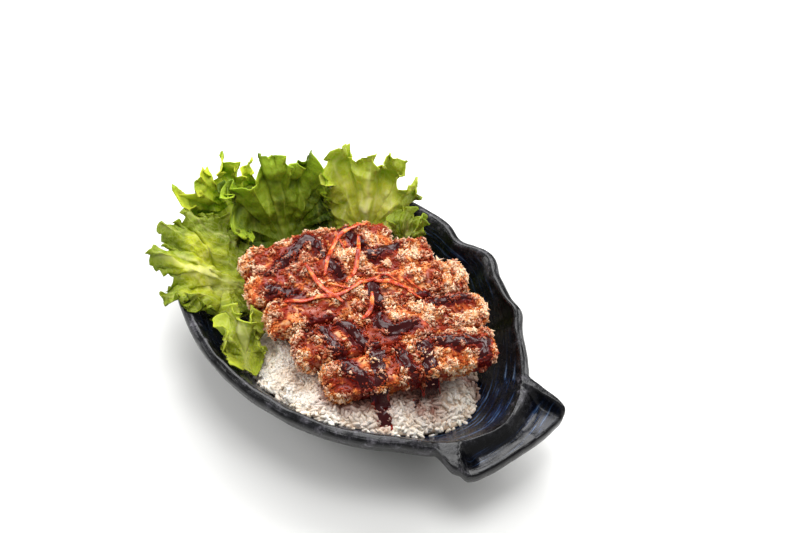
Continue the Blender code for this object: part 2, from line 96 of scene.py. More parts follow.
def add_softbox(name, place, side, watts):
    """A square white area light that faces the food."""
    light = bpy.data.lights.new(name, "AREA")
    light.shape = "SQUARE"
    light.size = side
    light.energy = watts
    box = bpy.data.objects.new(name, light)
    box.location = place
    aim(box, FOOD_MIDDLE)
    bpy.context.scene.collection.objects.link(box)


for row in SOFTBOXES:
    add_softbox(*row)
world = bpy.data.worlds.new("studio")
world.use_nodes = True
background = world.node_tree.nodes["Background"]
background.inputs["Color"].default_value = (1.0, 1.0, 1.0, 1.0)
background.inputs["Strength"].default_value = SURROUNDINGS_STRENGTH
bpy.context.scene.world = world
bpy.context.scene.view_settings.view_transform = "Standard"
print("softboxes:", len(SOFTBOXES))

# %% [markdown]
# ## Helpers for finishes
# Colours are written as the sRGB hex values that a colour picker shows, and Blender's shaders work
# with linear light, so one function turns one into the other. Another adds a node, sets it and links
# it, which keeps each finish down to a short list. Patterns read a place in metres, so a noise whose
# blotches are 5 mm across has the Scale 1 / (5 * MM).


# %% Colour and node helpers
def linear(hex_colour):
    """A linear RGBA colour from an sRGB hex value such as "#a0b0c0"."""
    channels = [int(hex_colour[i: i + 2], 16) / 255.0 for i in (1, 3, 5)]
    return tuple(c / 12.92 if c <= 0.04045 else ((c + 0.055) / 1.055) ** 2.4 for c in channels) + (1.0,)


def connect(tree, node, links):
    """Links sources into a node's inputs: {input: (node, output)}."""
    for name, (source, output) in links.items():
        tree.links.new(source.outputs[output], node.inputs[name])


def add_node(tree, kind, settings=None, values=None, links=None, stops=()):
    """A node with its properties, input values, links and, on a ramp, (position, colour) stops."""
    node = tree.nodes.new(kind)
    for name, value in (settings or {}).items():
        setattr(node, name, value)
    for name, value in (values or {}).items():
        node.inputs[name].default_value = value
    if stops:
        elements = node.color_ramp.elements
        while len(elements) < len(stops):
            elements.new(0.5)
        for element, (position, colour) in zip(elements, stops):
            element.position = position
            element.color = linear(colour)
    connect(tree, node, links or {})
    return node


def new_finish(name, values):
    """A material whose Principled shader has plain values, and its node tree."""
    material = bpy.data.materials.new(name)
    material.use_nodes = True
    shader = material.node_tree.nodes["Principled BSDF"]
    for key, value in values.items():
        shader.inputs[key].default_value = value
    return material, material.node_tree, shader


print("middle grey in linear light:", round(linear("#808080")[0], 3))

# %% [markdown]
# ## Smooth random relief
# Clay, crust and rice are all uneven in a soft way. Blender's own noise gives that for one point at a
# time, which is slow on a large mesh. This one reads a lattice of random values for all points at
# once, smoothed between the lattice points. Its bumps have a size in metres, and they are the same
# on every run.

# %% Smooth steps and relief
LATTICE_FACTORS = np.array([73856093, 19349663, 83492791])
SEED_FACTOR = 2654435
SCRAMBLE_FACTOR = 1274126177
OCTAVE_SHIFT = 17.3


def smoothstep(value):
    """0 below 0, 1 above 1 and a soft rise between, for an array."""
    t = np.clip(value, 0.0, 1.0)
    return t * t * (3.0 - 2.0 * t)


def step(value):
    """The same soft rise for a single number."""
    t = min(1.0, max(0.0, value))
    return t * t * (3.0 - 2.0 * t)


def mix(a, b, share):
    """From a at share 0 to b at share 1."""
    return a + (b - a) * share


def lattice_value(cell, seed):
    """A random value of -1 to 1 for each whole-numbered lattice point."""
    mixed = np.bitwise_xor.reduce(cell * LATTICE_FACTORS, axis=1) ^ (seed + 1) * SEED_FACTOR
    mixed = (mixed ^ (mixed >> 13)) * SCRAMBLE_FACTOR
    mixed = (mixed ^ (mixed >> 16)) & 0xFFFF
    return mixed / 32767.5 - 1.0


def relief(points, size, seed, octaves=2):
    """Smooth random values of about -1 to 1 at points, with bumps of a given size in metres."""
    total = np.zeros(len(points))
    strength, reach = 1.0, 0.0
    for octave in range(octaves):
        place = points * (2.0 ** octave / size) + OCTAVE_SHIFT * (seed + octave)
        cell = np.floor(place).astype(np.int64)
        part = smoothstep(place - cell)
        value = np.zeros(len(points))
        for corner in range(8):
            beside = np.array([(corner >> axis) & 1 for axis in range(3)])
            weight = np.prod(np.where(beside == 1, part, 1.0 - part), axis=1)
            value += weight * lattice_value(cell + beside, seed)
        total += strength * value
        reach += strength
        strength *= 0.5
    return total / reach


print("relief at the origin:", relief(np.zeros((1, 3)), 10.0 * MM, 1).round(3))

# %% [markdown]
# ## Meshes from grids and rings
# These shapes could be sculpted, but then their sizes would be hard to hold to the solids. Here points
# are worked out on a grid, or in rings that are skinned over and drawn together at both ends. A number
# stored at each point tells the finish where it is on the piece.


# %% Objects and stored values
def add_object(name, mesh, material):
    """An object in the scene with one finish."""
    mesh.materials.append(material)
    thing = bpy.data.objects.new(name, mesh)
    bpy.context.scene.collection.objects.link(thing)
    return thing


def make_mesh(name, points, faces, material):
    """A smooth-shaded object from points and faces."""
    mesh = bpy.data.meshes.new(name)
    mesh.from_pydata([tuple(p) for p in points], [], [tuple(f) for f in faces])
    mesh.update()
    mesh.shade_smooth()
    return add_object(name, mesh, material)


def points_of(thing):
    """The points of an object's mesh as an array."""
    return np.array([tuple(v.co) for v in thing.data.vertices])


def set_attribute(thing, name, values):
    """A number at each point of the mesh, for a finish to read; missing ones repeat the last."""
    missing = len(thing.data.vertices) - len(values)
    layer = thing.data.attributes.new(name, "FLOAT", "POINT")
    filled = np.append(np.asarray(values, np.float32), [np.float32(values[-1])] * missing)
    layer.data.foreach_set("value", filled)


# %% Grids and rings
def grid_faces(rows, columns, closed=False):
    """Quads between rows of points; closed joins the last column to the first."""
    faces = []
    last = columns if closed else columns - 1
    for r in range(rows - 1):
        for c in range(last):
            d = (c + 1) % columns
            faces.append((r * columns + c, r * columns + d, (r + 1) * columns + d, (r + 1) * columns + c))
    return faces


def loft(name, rings, tips, material):
    """A closed skin through rings of points, each end drawn together to a tip."""
    rows, columns = rings.shape[:2]
    last = (rows - 1) * columns
    faces = grid_faces(rows, columns, closed=True)
    for i in range(columns):
        j = (i + 1) % columns
        faces.append((rows * columns, j, i))
        faces.append((rows * columns + 1, last + i, last + j))
    thing = make_mesh(name, np.vstack([rings.reshape(-1, 3), tips]), faces, material)
    work = bmesh.new()
    work.from_mesh(thing.data)
    bmesh.ops.recalc_face_normals(work, faces=work.faces)
    work.to_mesh(thing.data)
    work.free()
    return thing


print("faces of a 3 by 4 tube:", len(grid_faces(3, 4, closed=True)))

# %% [markdown]
# ## The dish: glazed stoneware
# The dish was pressed or carved by hand: an oval drawn out to a flat tail, with a thick rim that waves
# in and out. It is one loft. Every direction from the middle has its own section through the cavity,
# the rim or the tail, the wall and the foot, and the ring of sections makes the body. The formulas are
# those of the solid, read at many more places and rounded between their points.

# %% Cavity: an oval whose rim has lobes
WALL = 6.0 * MM
CAVITY_HALF_WIDTH = 81.8 * MM
CAVITY_HEAD = 117.0 * MM
CAVITY_TAIL = 120.0 * MM
HEAD_POWER = 2.05
TAIL_POWER = 1.72

# Rim lobes: angle in degrees, change of radius, change of height, half width in degrees
RIM_LOBES = (
    (80.0, -3.6 * MM, -1.4 * MM, 7.0),
    (65.0, 4.4 * MM, 2.0 * MM, 6.5),
    (38.5, 2.4 * MM, 1.4 * MM, 4.0),
    (28.0, -0.8 * MM, -0.8 * MM, 6.0),
    (-55.0, 1.6 * MM, 0.8 * MM, 12.0),
    (-78.0, -0.8 * MM, -0.8 * MM, 6.0),
    (-108.0, 0.8 * MM, 0.9 * MM, 8.0),
    (-30.0, -0.6 * MM, -0.6 * MM, 5.0),
)


def turned(angle, middle=0.0):
    """Degrees away from a middle, -180 to 180; 0 is the tail and the far side is positive."""
    return (math.degrees(angle) - middle + 180.0) % 360.0 - 180.0


def lobe_sum(angle, column):
    """What all lobes together add at an angle: column 1 is radius, 2 is height."""
    total = 0.0
    for lobe in RIM_LOBES:
        total += lobe[column] * math.exp(-((turned(angle, lobe[0]) / lobe[3]) ** 2))
    return total


def superellipse(c, s, along, across, power):
    """Radius of an oval, with the given reach each way, in the direction (c, s)."""
    return (abs(c / along) ** power + abs(s / across) ** power) ** (-1.0 / power)


def cavity_radius(angle):
    """From the middle to the cavity's edge."""
    c, s = math.cos(angle), math.sin(angle)
    reach, power = (CAVITY_TAIL, TAIL_POWER) if c > 0 else (CAVITY_HEAD, HEAD_POWER)
    return superellipse(c, s, reach, CAVITY_HALF_WIDTH, power) + lobe_sum(angle, 1)


print("cavity from the middle to the far side:", round(cavity_radius(math.pi / 2.0), 4), "m")

# %% Outer edge and tail in plan
TAIL_END = 138.5 * MM
TAIL_SLANT = 0.31 * MM
TAIL_BOW = 0.004 * MM
FAR_NOTCH_DEG, FAR_SIDE_DEG = 17.8, 12.8
NEAR_NOTCH_DEG, NEAR_SIDE_DEG = 20.8, 18.6
CORNER_ROUND = 9.0 * MM
CORNER_FROM_DEG, CORNER_DEG = 13.0, 6.2


def tail_share(angle):
    """1 across the tail, 0 round the rest of the rim."""
    turn = turned(angle)
    notch, side = (FAR_NOTCH_DEG, FAR_SIDE_DEG) if turn > 0.0 else (NEAR_NOTCH_DEG, NEAR_SIDE_DEG)
    return step((notch - abs(turn)) / (notch - side))


def outline_radius(angle):
    """From the middle to the outer edge, out to the tail's end where there is tail."""
    turn = min(FAR_NOTCH_DEG, max(-NEAR_NOTCH_DEG, turned(angle)))
    tail = TAIL_END + TAIL_SLANT * turn + TAIL_BOW * turn ** 2
    tail -= CORNER_ROUND * max(0.0, (-turn - CORNER_FROM_DEG) / CORNER_DEG) ** 2
    return mix(cavity_radius(angle) + WALL, tail, tail_share(angle))


print("dish along its middle:", round(outline_radius(0.0) + outline_radius(math.pi), 4), "m")

# %% Heights: crest, cavity and tail
RIM_HEIGHT = 53.0 * MM
LIP_HEIGHT = 46.5 * MM
FLOOR = 6.0 * MM
FLAT_FLOOR = 0.45
WALL_POWER = 1.7
CAVITY_STOP = 2.0 * MM
DIP_EDGE_DEG, DIP_SLOPE_DEG = 34.0, 22.0
FAR_RIDGE_DEG = (13.0, 11.5)
NEAR_RIDGE_DEG = (11.8, 15.8)
RIDGE_STEP_DEG = 1.8
RIDGE_RISE = 1.0 * MM
RIDGE_FALL = 2.2 * MM
CHANNEL_DEPTH = 7.5 * MM
CHANNEL_RISE = 1.5 * MM
CHANNEL_ENTRY = 0.3
FAR_POCKET = 2.0 * MM
POCKET_START_DEG, POCKET_SLOPE_DEG = 2.0, 14.0


def crest_height(angle):
    """Top of the rim, which dips to the lip in front of the tail."""
    dip = step((DIP_EDGE_DEG - abs(turned(angle))) / DIP_SLOPE_DEG)
    return mix(RIM_HEIGHT + lobe_sum(angle, 2), LIP_HEIGHT, dip)


def cavity_height(share, angle):
    """The cavity's floor and wall, from the middle (0) to its edge (1)."""
    rise = max(0.0, (share - FLAT_FLOOR) / (1.0 - FLAT_FLOOR)) ** WALL_POWER
    return FLOOR + (crest_height(angle) - CAVITY_STOP - FLOOR) * rise


def tail_top(share, angle):
    """Top of the tail from the lip (0) to its outer edge (1): a channel between two side ridges."""
    turn = turned(angle)
    at_lip, at_end = FAR_RIDGE_DEG if turn > 0.0 else NEAR_RIDGE_DEG
    side = step((abs(turn) - mix(at_lip, at_end, share)) / RIDGE_STEP_DEG)
    depth = CHANNEL_DEPTH + FAR_POCKET * step((turn + POCKET_START_DEG) / POCKET_SLOPE_DEG)
    entry = 1.0 - math.exp(-((share / CHANNEL_ENTRY) ** 2))
    channel = CHANNEL_RISE * step(2.0 * share - 1.0) - depth * entry
    ridge = RIDGE_RISE - RIDGE_FALL * share ** 2
    return LIP_HEIGHT + mix(channel, ridge, side)


print("rim at the head:", round(crest_height(math.pi), 4), "m high")

# %% [markdown]
# The section is read at a couple of dozen points, as in the solid, and a smooth curve through them
# gives the fine surface. The points lie closer round the tail, where the outline turns sharply.

# %% Dish section
CAVITY_SHARES = (0.22, 0.45, 0.60, 0.72, 0.82, 0.91, 0.97)
RIM_SHARES = (0.0, 0.2, 0.42, 0.62, 0.82, 1.0)
UNDER_SHARES = (0.95, 0.87, 0.78, 0.69, 0.61)
FOOT_SHARE = 0.585
SHELL_THICKNESS = 7.5 * MM
LEAST_UNDERSIDE = 3.0 * MM
# Roundings of the lip and of the rim's top
CAVITY_INSET = 1.0 * MM
LIP_OUT, LIP_DROP = 0.2 * MM, 0.7 * MM
RIM_INSET, EDGE_INSET = 2.0 * MM, 1.2 * MM
RIM_CROWN = 0.9 * MM
# Roundings of the outer edge; where there are two, one is for the rim and one for the tail
EDGE_DROP = 2.2 * MM
EDGE_UNDERCUT = 0.4 * MM
UNDERCUT_DROP_MM = (5.5, 6.5)
BODY_INSET, TAIL_INSET = 1.2 * MM, 3.5 * MM
BODY_DROP_MM = (9.0, 8.5)


def dish_profile(angle):
    """(radius, height) down the dish's section: cavity, rim or tail, outer wall, foot."""
    inner, outer = cavity_radius(angle), outline_radius(angle)
    body = inner + WALL
    crest, tail = crest_height(angle), tail_share(angle)
    edge = inner - CAVITY_INSET
    points = [(edge * share, cavity_height(share, angle)) for share in CAVITY_SHARES]
    points.append((inner + LIP_OUT, crest - LIP_DROP))
    start, stop = inner + RIM_INSET, outer - EDGE_INSET
    for share in RIM_SHARES:
        plain = crest - RIM_CROWN * share ** 2
        points.append((mix(start, stop, share), mix(plain, tail_top(share, angle), tail)))
    edge_top = points[-1][1]
    points.append((outer, edge_top - EDGE_DROP))
    points.append((outer - EDGE_UNDERCUT, edge_top - mix(*UNDERCUT_DROP_MM, tail) * MM))
    body_edge = mix(body - BODY_INSET, outer - TAIL_INSET, tail)
    points.append((body_edge, edge_top - mix(*BODY_DROP_MM, tail) * MM))
    for share in UNDER_SHARES:
        points.append((body * share, max(LEAST_UNDERSIDE, cavity_height(share, angle) - SHELL_THICKNESS)))
    points.append((body * FOOT_SHARE, 0.0))
    return points


print("points down a section:", len(dish_profile(0.0)))


# %% Smooth curve
def smooth_curve(points, steps):
    """Points on a smooth curve through the given ones."""
    p = np.array(points)
    padded = np.vstack([2 * p[0] - p[1], p, 2 * p[-1] - p[-2]])
    curve = []
    for a, b, c, d in zip(padded, padded[1:], padded[2:], padded[3:]):
        for i in range(steps):
            t = i / steps
            curve.append(0.5 * (2 * b + (c - a) * t + (2 * a - 5 * b + 4 * c - d) * t * t
                                + (3 * b - a - 3 * c + d) * t ** 3))
    curve.append(p[-1])
    return np.array(curve)


print("points down the smooth section:", len(smooth_curve(dish_profile(0.0), 3)))

# %% Directions of the sections
DISH_SEGMENTS = 540
TAIL_DENSITY = 2.3
FINE_STEPS = 2881


def spaced_angles(count):
    """Angles that step evenly along the outer edge, closer round the tail, from the head's middle."""
    fine = np.linspace(-math.pi, math.pi, FINE_STEPS)
    radius = np.array([outline_radius(a) for a in fine])
    edge = np.stack([radius * np.cos(fine), radius * np.sin(fine)], 1)
    stride = np.linalg.norm(np.diff(edge, axis=0), axis=1)
    density = np.where(np.abs(np.degrees(fine[:-1])) < NEAR_NOTCH_DEG, TAIL_DENSITY, 1.0)
    places = np.concatenate([[0.0], np.cumsum(stride * density)])
    along = np.concatenate([[0.0], np.cumsum(stride)])
    goals = places[-1] * np.arange(count) / count
    angles = np.interp(goals, places, fine)
    return angles, np.interp(angles, fine, along)


section_angles, section_places = spaced_angles(DISH_SEGMENTS)
print("once round the outer edge:", round(section_places[-1], 3), "m")

# %% [markdown]
# Low relief would be lost in the solid's large faces, so it is added here: soft waves from the hands
# all over, the slight facets that a carving tool left along the rim, and one small dent in the tail.

# %% Traces of hands and tools
CURVE_STEPS = 3
SHARP_DEG = 50.0
FACET_STRETCH = np.array([1.0, 1.0, 0.25])
DENT = Vector((121.0 * MM, -27.5 * MM))
DENT_DEPTH = 4.5 * MM
DENT_REACH = 3.0 * MM
# Sizes and heights of the waves from the hands, of lighter touches, of facets and of the rim's waves
HAND_WAVE, HAND_RISE = 24.0 * MM, 0.7 * MM
TOUCH_WAVE, TOUCH_RISE = 8.0 * MM, 0.28 * MM
FACET_SIZE, FACET_DEPTH = 12.0 * MM, 1.0 * MM
RIM_WAVE, RIM_RISE = 15.0 * MM, 0.6 * MM
# Where the glaze changes, in degrees from the tail's middle
PLAIN_TAIL_DEG, BRUSHED_TAIL_DEG = 16.5, 14.0
BRUSHED_FROM_DEG, BRUSHED_TO_DEG = -70.0, 24.0
CAVITY_STOP_LEVEL = len(CAVITY_SHARES) * CURVE_STEPS
RIM_STOP_LEVEL = CAVITY_STOP_LEVEL + (len(RIM_SHARES) + 2) * CURVE_STEPS


def form_by_hand(points, on_rim, on_top):
    """Moves the dish's points by waves, tool facets and the dent."""
    above_foot = smoothstep((points[:, 2] - 1.0 * MM) / (6.0 * MM))
    outward = points / np.maximum(1e-6, np.linalg.norm(points[:, :2], axis=1))[:, None]
    outward[:, 2] = 0.0
    waves = relief(points, HAND_WAVE, 3) * HAND_RISE + relief(points, TOUCH_WAVE, 5) * TOUCH_RISE
    facets = np.abs(relief(points * FACET_STRETCH, FACET_SIZE, 9, 1)) * FACET_DEPTH
    points += outward * (waves * above_foot)[:, None]
    points[:, 2] += (relief(points, RIM_WAVE, 8) * RIM_RISE - facets) * on_rim
    to_dent = np.hypot(points[:, 0] - DENT.x, points[:, 1] - DENT.y)
    points[:, 2] -= DENT_DEPTH * np.exp(-((to_dent / DENT_REACH) ** 2)) * on_top


print("facets are at most", FACET_DEPTH, "m deep")


# %% Where the glaze changes
def store_glazing(dish, level, turn, on_rim):
    """Stores where the rim is worn pale with a painted highlight, and where blue was brushed on."""
    inner_tail = smoothstep((PLAIN_TAIL_DEG - np.abs(turn)) / 3.0)
    inner_tail *= smoothstep((level - CAVITY_STOP_LEVEL - CURVE_STEPS) / CURVE_STEPS)
    set_attribute(dish, "rim", on_rim * (1.0 - 0.85 * inner_tail))
    sector = smoothstep((turn - BRUSHED_FROM_DEG) / 15.0) * smoothstep((BRUSHED_TO_DEG - turn) / 18.0)
    inside = smoothstep((CAVITY_STOP_LEVEL - level) / 3.0) * mix(0.22, 1.0, sector)
    in_channel = level > CAVITY_STOP_LEVEL + 2.5 * CURVE_STEPS
    in_channel = in_channel * (level < RIM_STOP_LEVEL - 2 * CURVE_STEPS)
    channel = smoothstep((BRUSHED_TAIL_DEG - np.abs(turn)) / 3.0) * in_channel
    set_attribute(dish, "brushed", np.maximum(inside, 0.55 * channel))


print("blue is brushed from", BRUSHED_FROM_DEG, "to", BRUSHED_TO_DEG, "degrees")


# %% Dish mesh
def build_dish(material):
    """The dish's skin, with the values that its glaze reads."""
    angles = section_angles
    sections = np.array([smooth_curve(dish_profile(a), CURVE_STEPS) for a in angles])
    count = sections.shape[1]
    stride = np.linalg.norm(np.diff(sections, axis=1), axis=2)
    down = np.concatenate([np.zeros((len(angles), 1)), np.cumsum(stride, axis=1)], axis=1)
    radius, height = sections[:, :, 0].T, sections[:, :, 1].T
    rings = np.stack([radius * np.cos(angles), radius * np.sin(angles), height], axis=2)
    points = rings.reshape(-1, 3)
    level = np.repeat(np.arange(count), len(angles))
    turn = np.tile(np.degrees(angles), count)
    on_rim = smoothstep((level - CAVITY_STOP_LEVEL + CURVE_STEPS) / CURVE_STEPS)
    on_rim *= smoothstep((RIM_STOP_LEVEL + CURVE_STEPS - level) / CURVE_STEPS)
    form_by_hand(points, on_rim, level < RIM_STOP_LEVEL)
    tips = [[0.0, 0.0, FLOOR], [0.0, 0.0, 0.0]]
    dish = loft("dish_glazed", points.reshape(rings.shape), tips, material)
    dish.data.set_sharp_from_angle(angle=math.radians(SHARP_DEG))
    set_attribute(dish, "along", np.tile(section_places, count))
    set_attribute(dish, "down", down.T.ravel())
    store_glazing(dish, level, turn, on_rim)
    return dish


print("rings of the dish from cavity to rim's end:", RIM_STOP_LEVEL)

# %% [markdown]
# Stoneware is dense fired clay, and this glaze is an iron-rich near-black one, fired glossy, which
# gives the eye deep black with sharp pale reflections. Where it ran thin off the rim it is grey and
# mottled, and that grey is also a painted highlight, lighter than the thin glaze alone. Where a brush
# laid a blue over it inside the bowl, thin paler streaks run round the wall.
# They are noise stretched along the ring, read from two distances stored on the mesh: how far round
# the edge a point is, and how far down the section.

# %% Glaze
STREAK_LENGTH = 38.46 * MM
STREAK_WIDTH = 1.786 * MM
GLAZE_CLOUD = 6.667 * MM
GLAZE_PATCH = 50.0 * MM
GLAZE_PIT = 3.03 * MM


def make_glaze():
    """Iron-black stoneware glaze: blue brushed inside, grey where it ran thin along the rim, with a painted
    highlight there.
    """
    material, tree, shader = new_finish("glazed_stoneware_tenmoku", {"IOR": 1.38})
    along, down, brushed, rim = [add_node(tree, "ShaderNodeAttribute", {"attribute_name": name})
                                 for name in ("along", "down", "brushed", "rim")]
    at_place = {"Vector": (add_node(tree, "ShaderNodeNewGeometry"), "Position")}
    flow = add_node(tree, "ShaderNodeCombineXYZ", links={"X": (along, "Fac"), "Y": (down, "Fac")})
    stretched = add_node(tree, "ShaderNodeVectorMath", {"operation": "MULTIPLY"},
                         {1: (1.0 / STREAK_LENGTH, 1.0 / STREAK_WIDTH, 1.0)}, {0: (flow, "Vector")})
    streaks = add_node(tree, "ShaderNodeTexNoise", values={"Scale": 1.0, "Detail": 5.0, "Roughness": 0.65},
                       links={"Vector": (stretched, "Vector")})
    blue = add_node(tree, "ShaderNodeValToRGB", links={"Fac": (streaks, "Fac")},
                    stops=((0.40, "#020307"), (0.52, "#060d20"), (0.57, "#0e2146"), (0.62, "#41628f"),
                           (0.69, "#a3b7d0")))
    clouds = add_node(tree, "ShaderNodeTexNoise", links=at_place,
                      values={"Scale": 1.0 / GLAZE_CLOUD, "Detail": 5.0, "Roughness": 0.7})
    body = add_node(tree, "ShaderNodeValToRGB", links={"Fac": (clouds, "Fac")},
                    stops=((0.35, "#030304"), (0.60, "#08080a"), (0.75, "#131315")))
    # Grey of the thin glaze on the rim, lightened up to a painted highlight
    thin_glaze_and_highlight = add_node(tree, "ShaderNodeValToRGB", links={"Fac": (clouds, "Fac")},
                       stops=((0.42, "#0a0a0c"), (0.54, "#1e1e22"), (0.63, "#48464c"), (0.75, "#929096")))
    patches = add_node(tree, "ShaderNodeTexNoise", links=at_place,
                       values={"Scale": 1.0 / GLAZE_PATCH, "Detail": 3.0})
    where = add_node(tree, "ShaderNodeValToRGB", links={"Fac": (patches, "Fac")},
                     stops=((0.40, "#202020"), (0.58, "#ffffff")))
    painted, worn_and_highlit = [add_node(tree, "ShaderNodeMath", {"operation": "MULTIPLY"},
                              links={0: (where, "Color"), 1: (region, "Fac")}) for region in (brushed, rim)]
    blued = add_node(tree, "ShaderNodeMix", {"data_type": "RGBA"},
                     links={"Factor": (painted, "Value"), "A": (body, "Color"), "B": (blue, "Color")})
    colour = add_node(tree, "ShaderNodeMix", {"data_type": "RGBA"},
                      links={"Factor": (worn_and_highlit, "Value"), "A": (blued, "Result"), "B": (thin_glaze_and_highlight, "Color")})
    rough = add_node(tree, "ShaderNodeMapRange", links={"Value": (clouds, "Fac")},
                     values={"From Min": 0.35, "From Max": 0.7, "To Min": 0.13, "To Max": 0.38})
    pits = add_node(tree, "ShaderNodeTexNoise", links=at_place,
                    values={"Scale": 1.0 / GLAZE_PIT, "Detail": 4.0})
    pitted = add_node(tree, "ShaderNodeBump", values={"Strength": 0.45, "Distance": 0.35 * MM},
                      links={"Height": (pits, "Fac")})
    strokes = add_node(tree, "ShaderNodeBump", values={"Strength": 0.35, "Distance": 0.5 * MM},
                       links={"Height": (streaks, "Fac"), "Normal": (pitted, "Normal")})
    connect(tree, shader, {"Base Color": (colour, "Result"), "Roughness": (rough, "Result"),
                           "Normal": (strokes, "Normal")})
    return material


dish = build_dish(make_glaze())
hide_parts("dish")
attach(dish, "root")
print("dish faces:", len(dish.data.polygons))

# %% [markdown]
# ## The cutlet: breaded, fried and cut into strips
# Each strip is a soft-cornered bar, crusty on top, underneath and at its ends, and smooth and pale
# where the knife went through. The bar repeats the solid's own formula at a finer pitch. Over it lie
# clumps of breadcrumbs, paler where they stand proud as painted light, and red-brown where thin sauce
# soaked in.

# %% Where the sauce was poured
SAUCE_HALF_WIDTH = 4.0 * MM
THIN_SAUCE_SHARE = 0.62
LINE_EDGE_MM, LINE_FADE_MM = 5.6, 1.8

# Each line's route in plan, in millimetres
SAUCE_LINES = (
    ((8, -35), (16, -36), (31, -39), (43, -42), (58, -42)),
    ((52, -14), (69, -18), (80, -22)),
    ((62, 5), (75, 13), (84, 25), (92, 16)),
    ((13, 6), (26, -3), (34, -10), (44, -8), (48, 4)),
    ((-38, -29), (-38, -17), (-41, 5), (-32, 6), (-23, 3), (-7, -1)),
    ((-28, -37), (-21, -33), (-13, -28)),
    ((-34, 27), (-15, 24), (-1, 22), (0, 37)),
    ((39, 22), (48, 25), (57, 38)),
    ((9, -41), (11, -28), (23, -24), (37, -25), (49, -22)),
)
RUNS_ON_RICE = (
    ((42, -22), (49, -27), (57, -33), (65, -39), (71, -44)),
    ((63, -2), (71, -7), (77, -11), (82, -16)),
)


def distance_to_routes(xy, routes):
    """Distance in plan from each point to the nearest of several routes given in millimetres."""
    nearest = np.full(len(xy), 1.0)
    for route in routes:
        for start, end in zip(route, route[1:]):
            a, b = np.array(start) * MM, np.array(end) * MM
            along = np.clip(((xy - a) @ (b - a)) / ((b - a) @ (b - a)), 0.0, 1.0)
            nearest = np.minimum(nearest, np.linalg.norm(xy - (a + along[:, None] * (b - a)), axis=1))
    return nearest


def poured(xy):
    """1 in the middle of a sauce line, 0 beside it."""
    return smoothstep(1.4 - distance_to_routes(xy, SAUCE_LINES) / SAUCE_HALF_WIDTH)


def soaked(points):
    """Sauce cover for colours: 1 under the poured lines, less where thin sauce soaked in."""
    ragged = distance_to_routes(points[:, :2], SAUCE_LINES) / MM
    ragged += 1.8 * relief(points, 5.0 * MM, 31) + 0.8 * relief(points, 2.0 * MM, 33)
    thin = relief(points, 7.0 * MM, 35) + 0.5 * relief(points, 2.8 * MM, 37) + 0.35 * np.exp(-ragged / 7.0)
    thick = smoothstep((LINE_EDGE_MM - ragged) / LINE_FADE_MM)
    return np.maximum(thick, THIN_SAUCE_SHARE * smoothstep((thin - 0.04) / 0.14))


print("sauce lines:", len(SAUCE_LINES), "and runs on the rice:", len(RUNS_ON_RICE))

# %% Sizes of the strips
SLICE_HEADING = math.radians(61.0)
SLICE_LEAN = math.radians(10.0)
STATIONS, ROUND = 104, 72
CORNER_POWER = 5
END_WIDTH, END_HEIGHT = 0.55, 0.34
CRUST_RELIEF = 1.7 * MM
CUT_RELIEF = 0.25 * MM
CRUST_SWELL = 1.3 * MM
CRAGS = 1.6 * MM
BUMP_SIZE, FINE_BUMP_SIZE = 7.0 * MM, 3.5 * MM
SWELL_SIZE = 16.0 * MM
CRAG_SIZE = 9.0 * MM
SAUCE_RELIEF = 0.9 * MM

# Each slice: name, middle in X and Y, underside's height, length, width, thickness, outer side
SLICES = (
    ("cutlet_slice_1", 61.5 * MM, -12.5 * MM, 44.5 * MM, 100.0 * MM, 22.6 * MM, 17.5 * MM, -1),
    ("cutlet_slice_2", 38.5 * MM, -5.0 * MM, 48.0 * MM, 112.0 * MM, 22.8 * MM, 18.5 * MM, 0),
    ("cutlet_slice_3", 13.5 * MM, 1.0 * MM, 50.5 * MM, 118.0 * MM, 22.6 * MM, 18.5 * MM, 0),
    ("cutlet_slice_4", -11.0 * MM, 3.0 * MM, 51.0 * MM, 110.0 * MM, 20.8 * MM, 18.0 * MM, 0),
    ("cutlet_slice_5", -34.0 * MM, 6.0 * MM, 51.0 * MM, 90.0 * MM, 20.6 * MM, 16.5 * MM, 1),
)
print("strips:", len(SLICES), "with", STATIONS * ROUND, "points each")


# %% Strip bodies
def crust_growth(point, cut, seed):
    """How far the fried crust stands out at a point; a cut face stays nearly flat."""
    bump = noise.noise(point / BUMP_SIZE + Vector((seed * 7.3, 0.0, 0.0)))
    bump += 0.6 * noise.noise(point / FINE_BUMP_SIZE + Vector((0.0, seed * 5.1, 0.0)))
    swell = noise.noise(point / SWELL_SIZE + Vector((0.0, 0.0, seed * 3.9)))
    crag = noise.noise(point / CRAG_SIZE + Vector((seed * 1.9, 3.1, 0.0)))
    grow = mix(CRUST_RELIEF, CUT_RELIEF, cut) * bump + swell * CRUST_SWELL * (1.0 - cut)
    return grow + CRAGS * crag * (1.0 - 0.7 * cut)


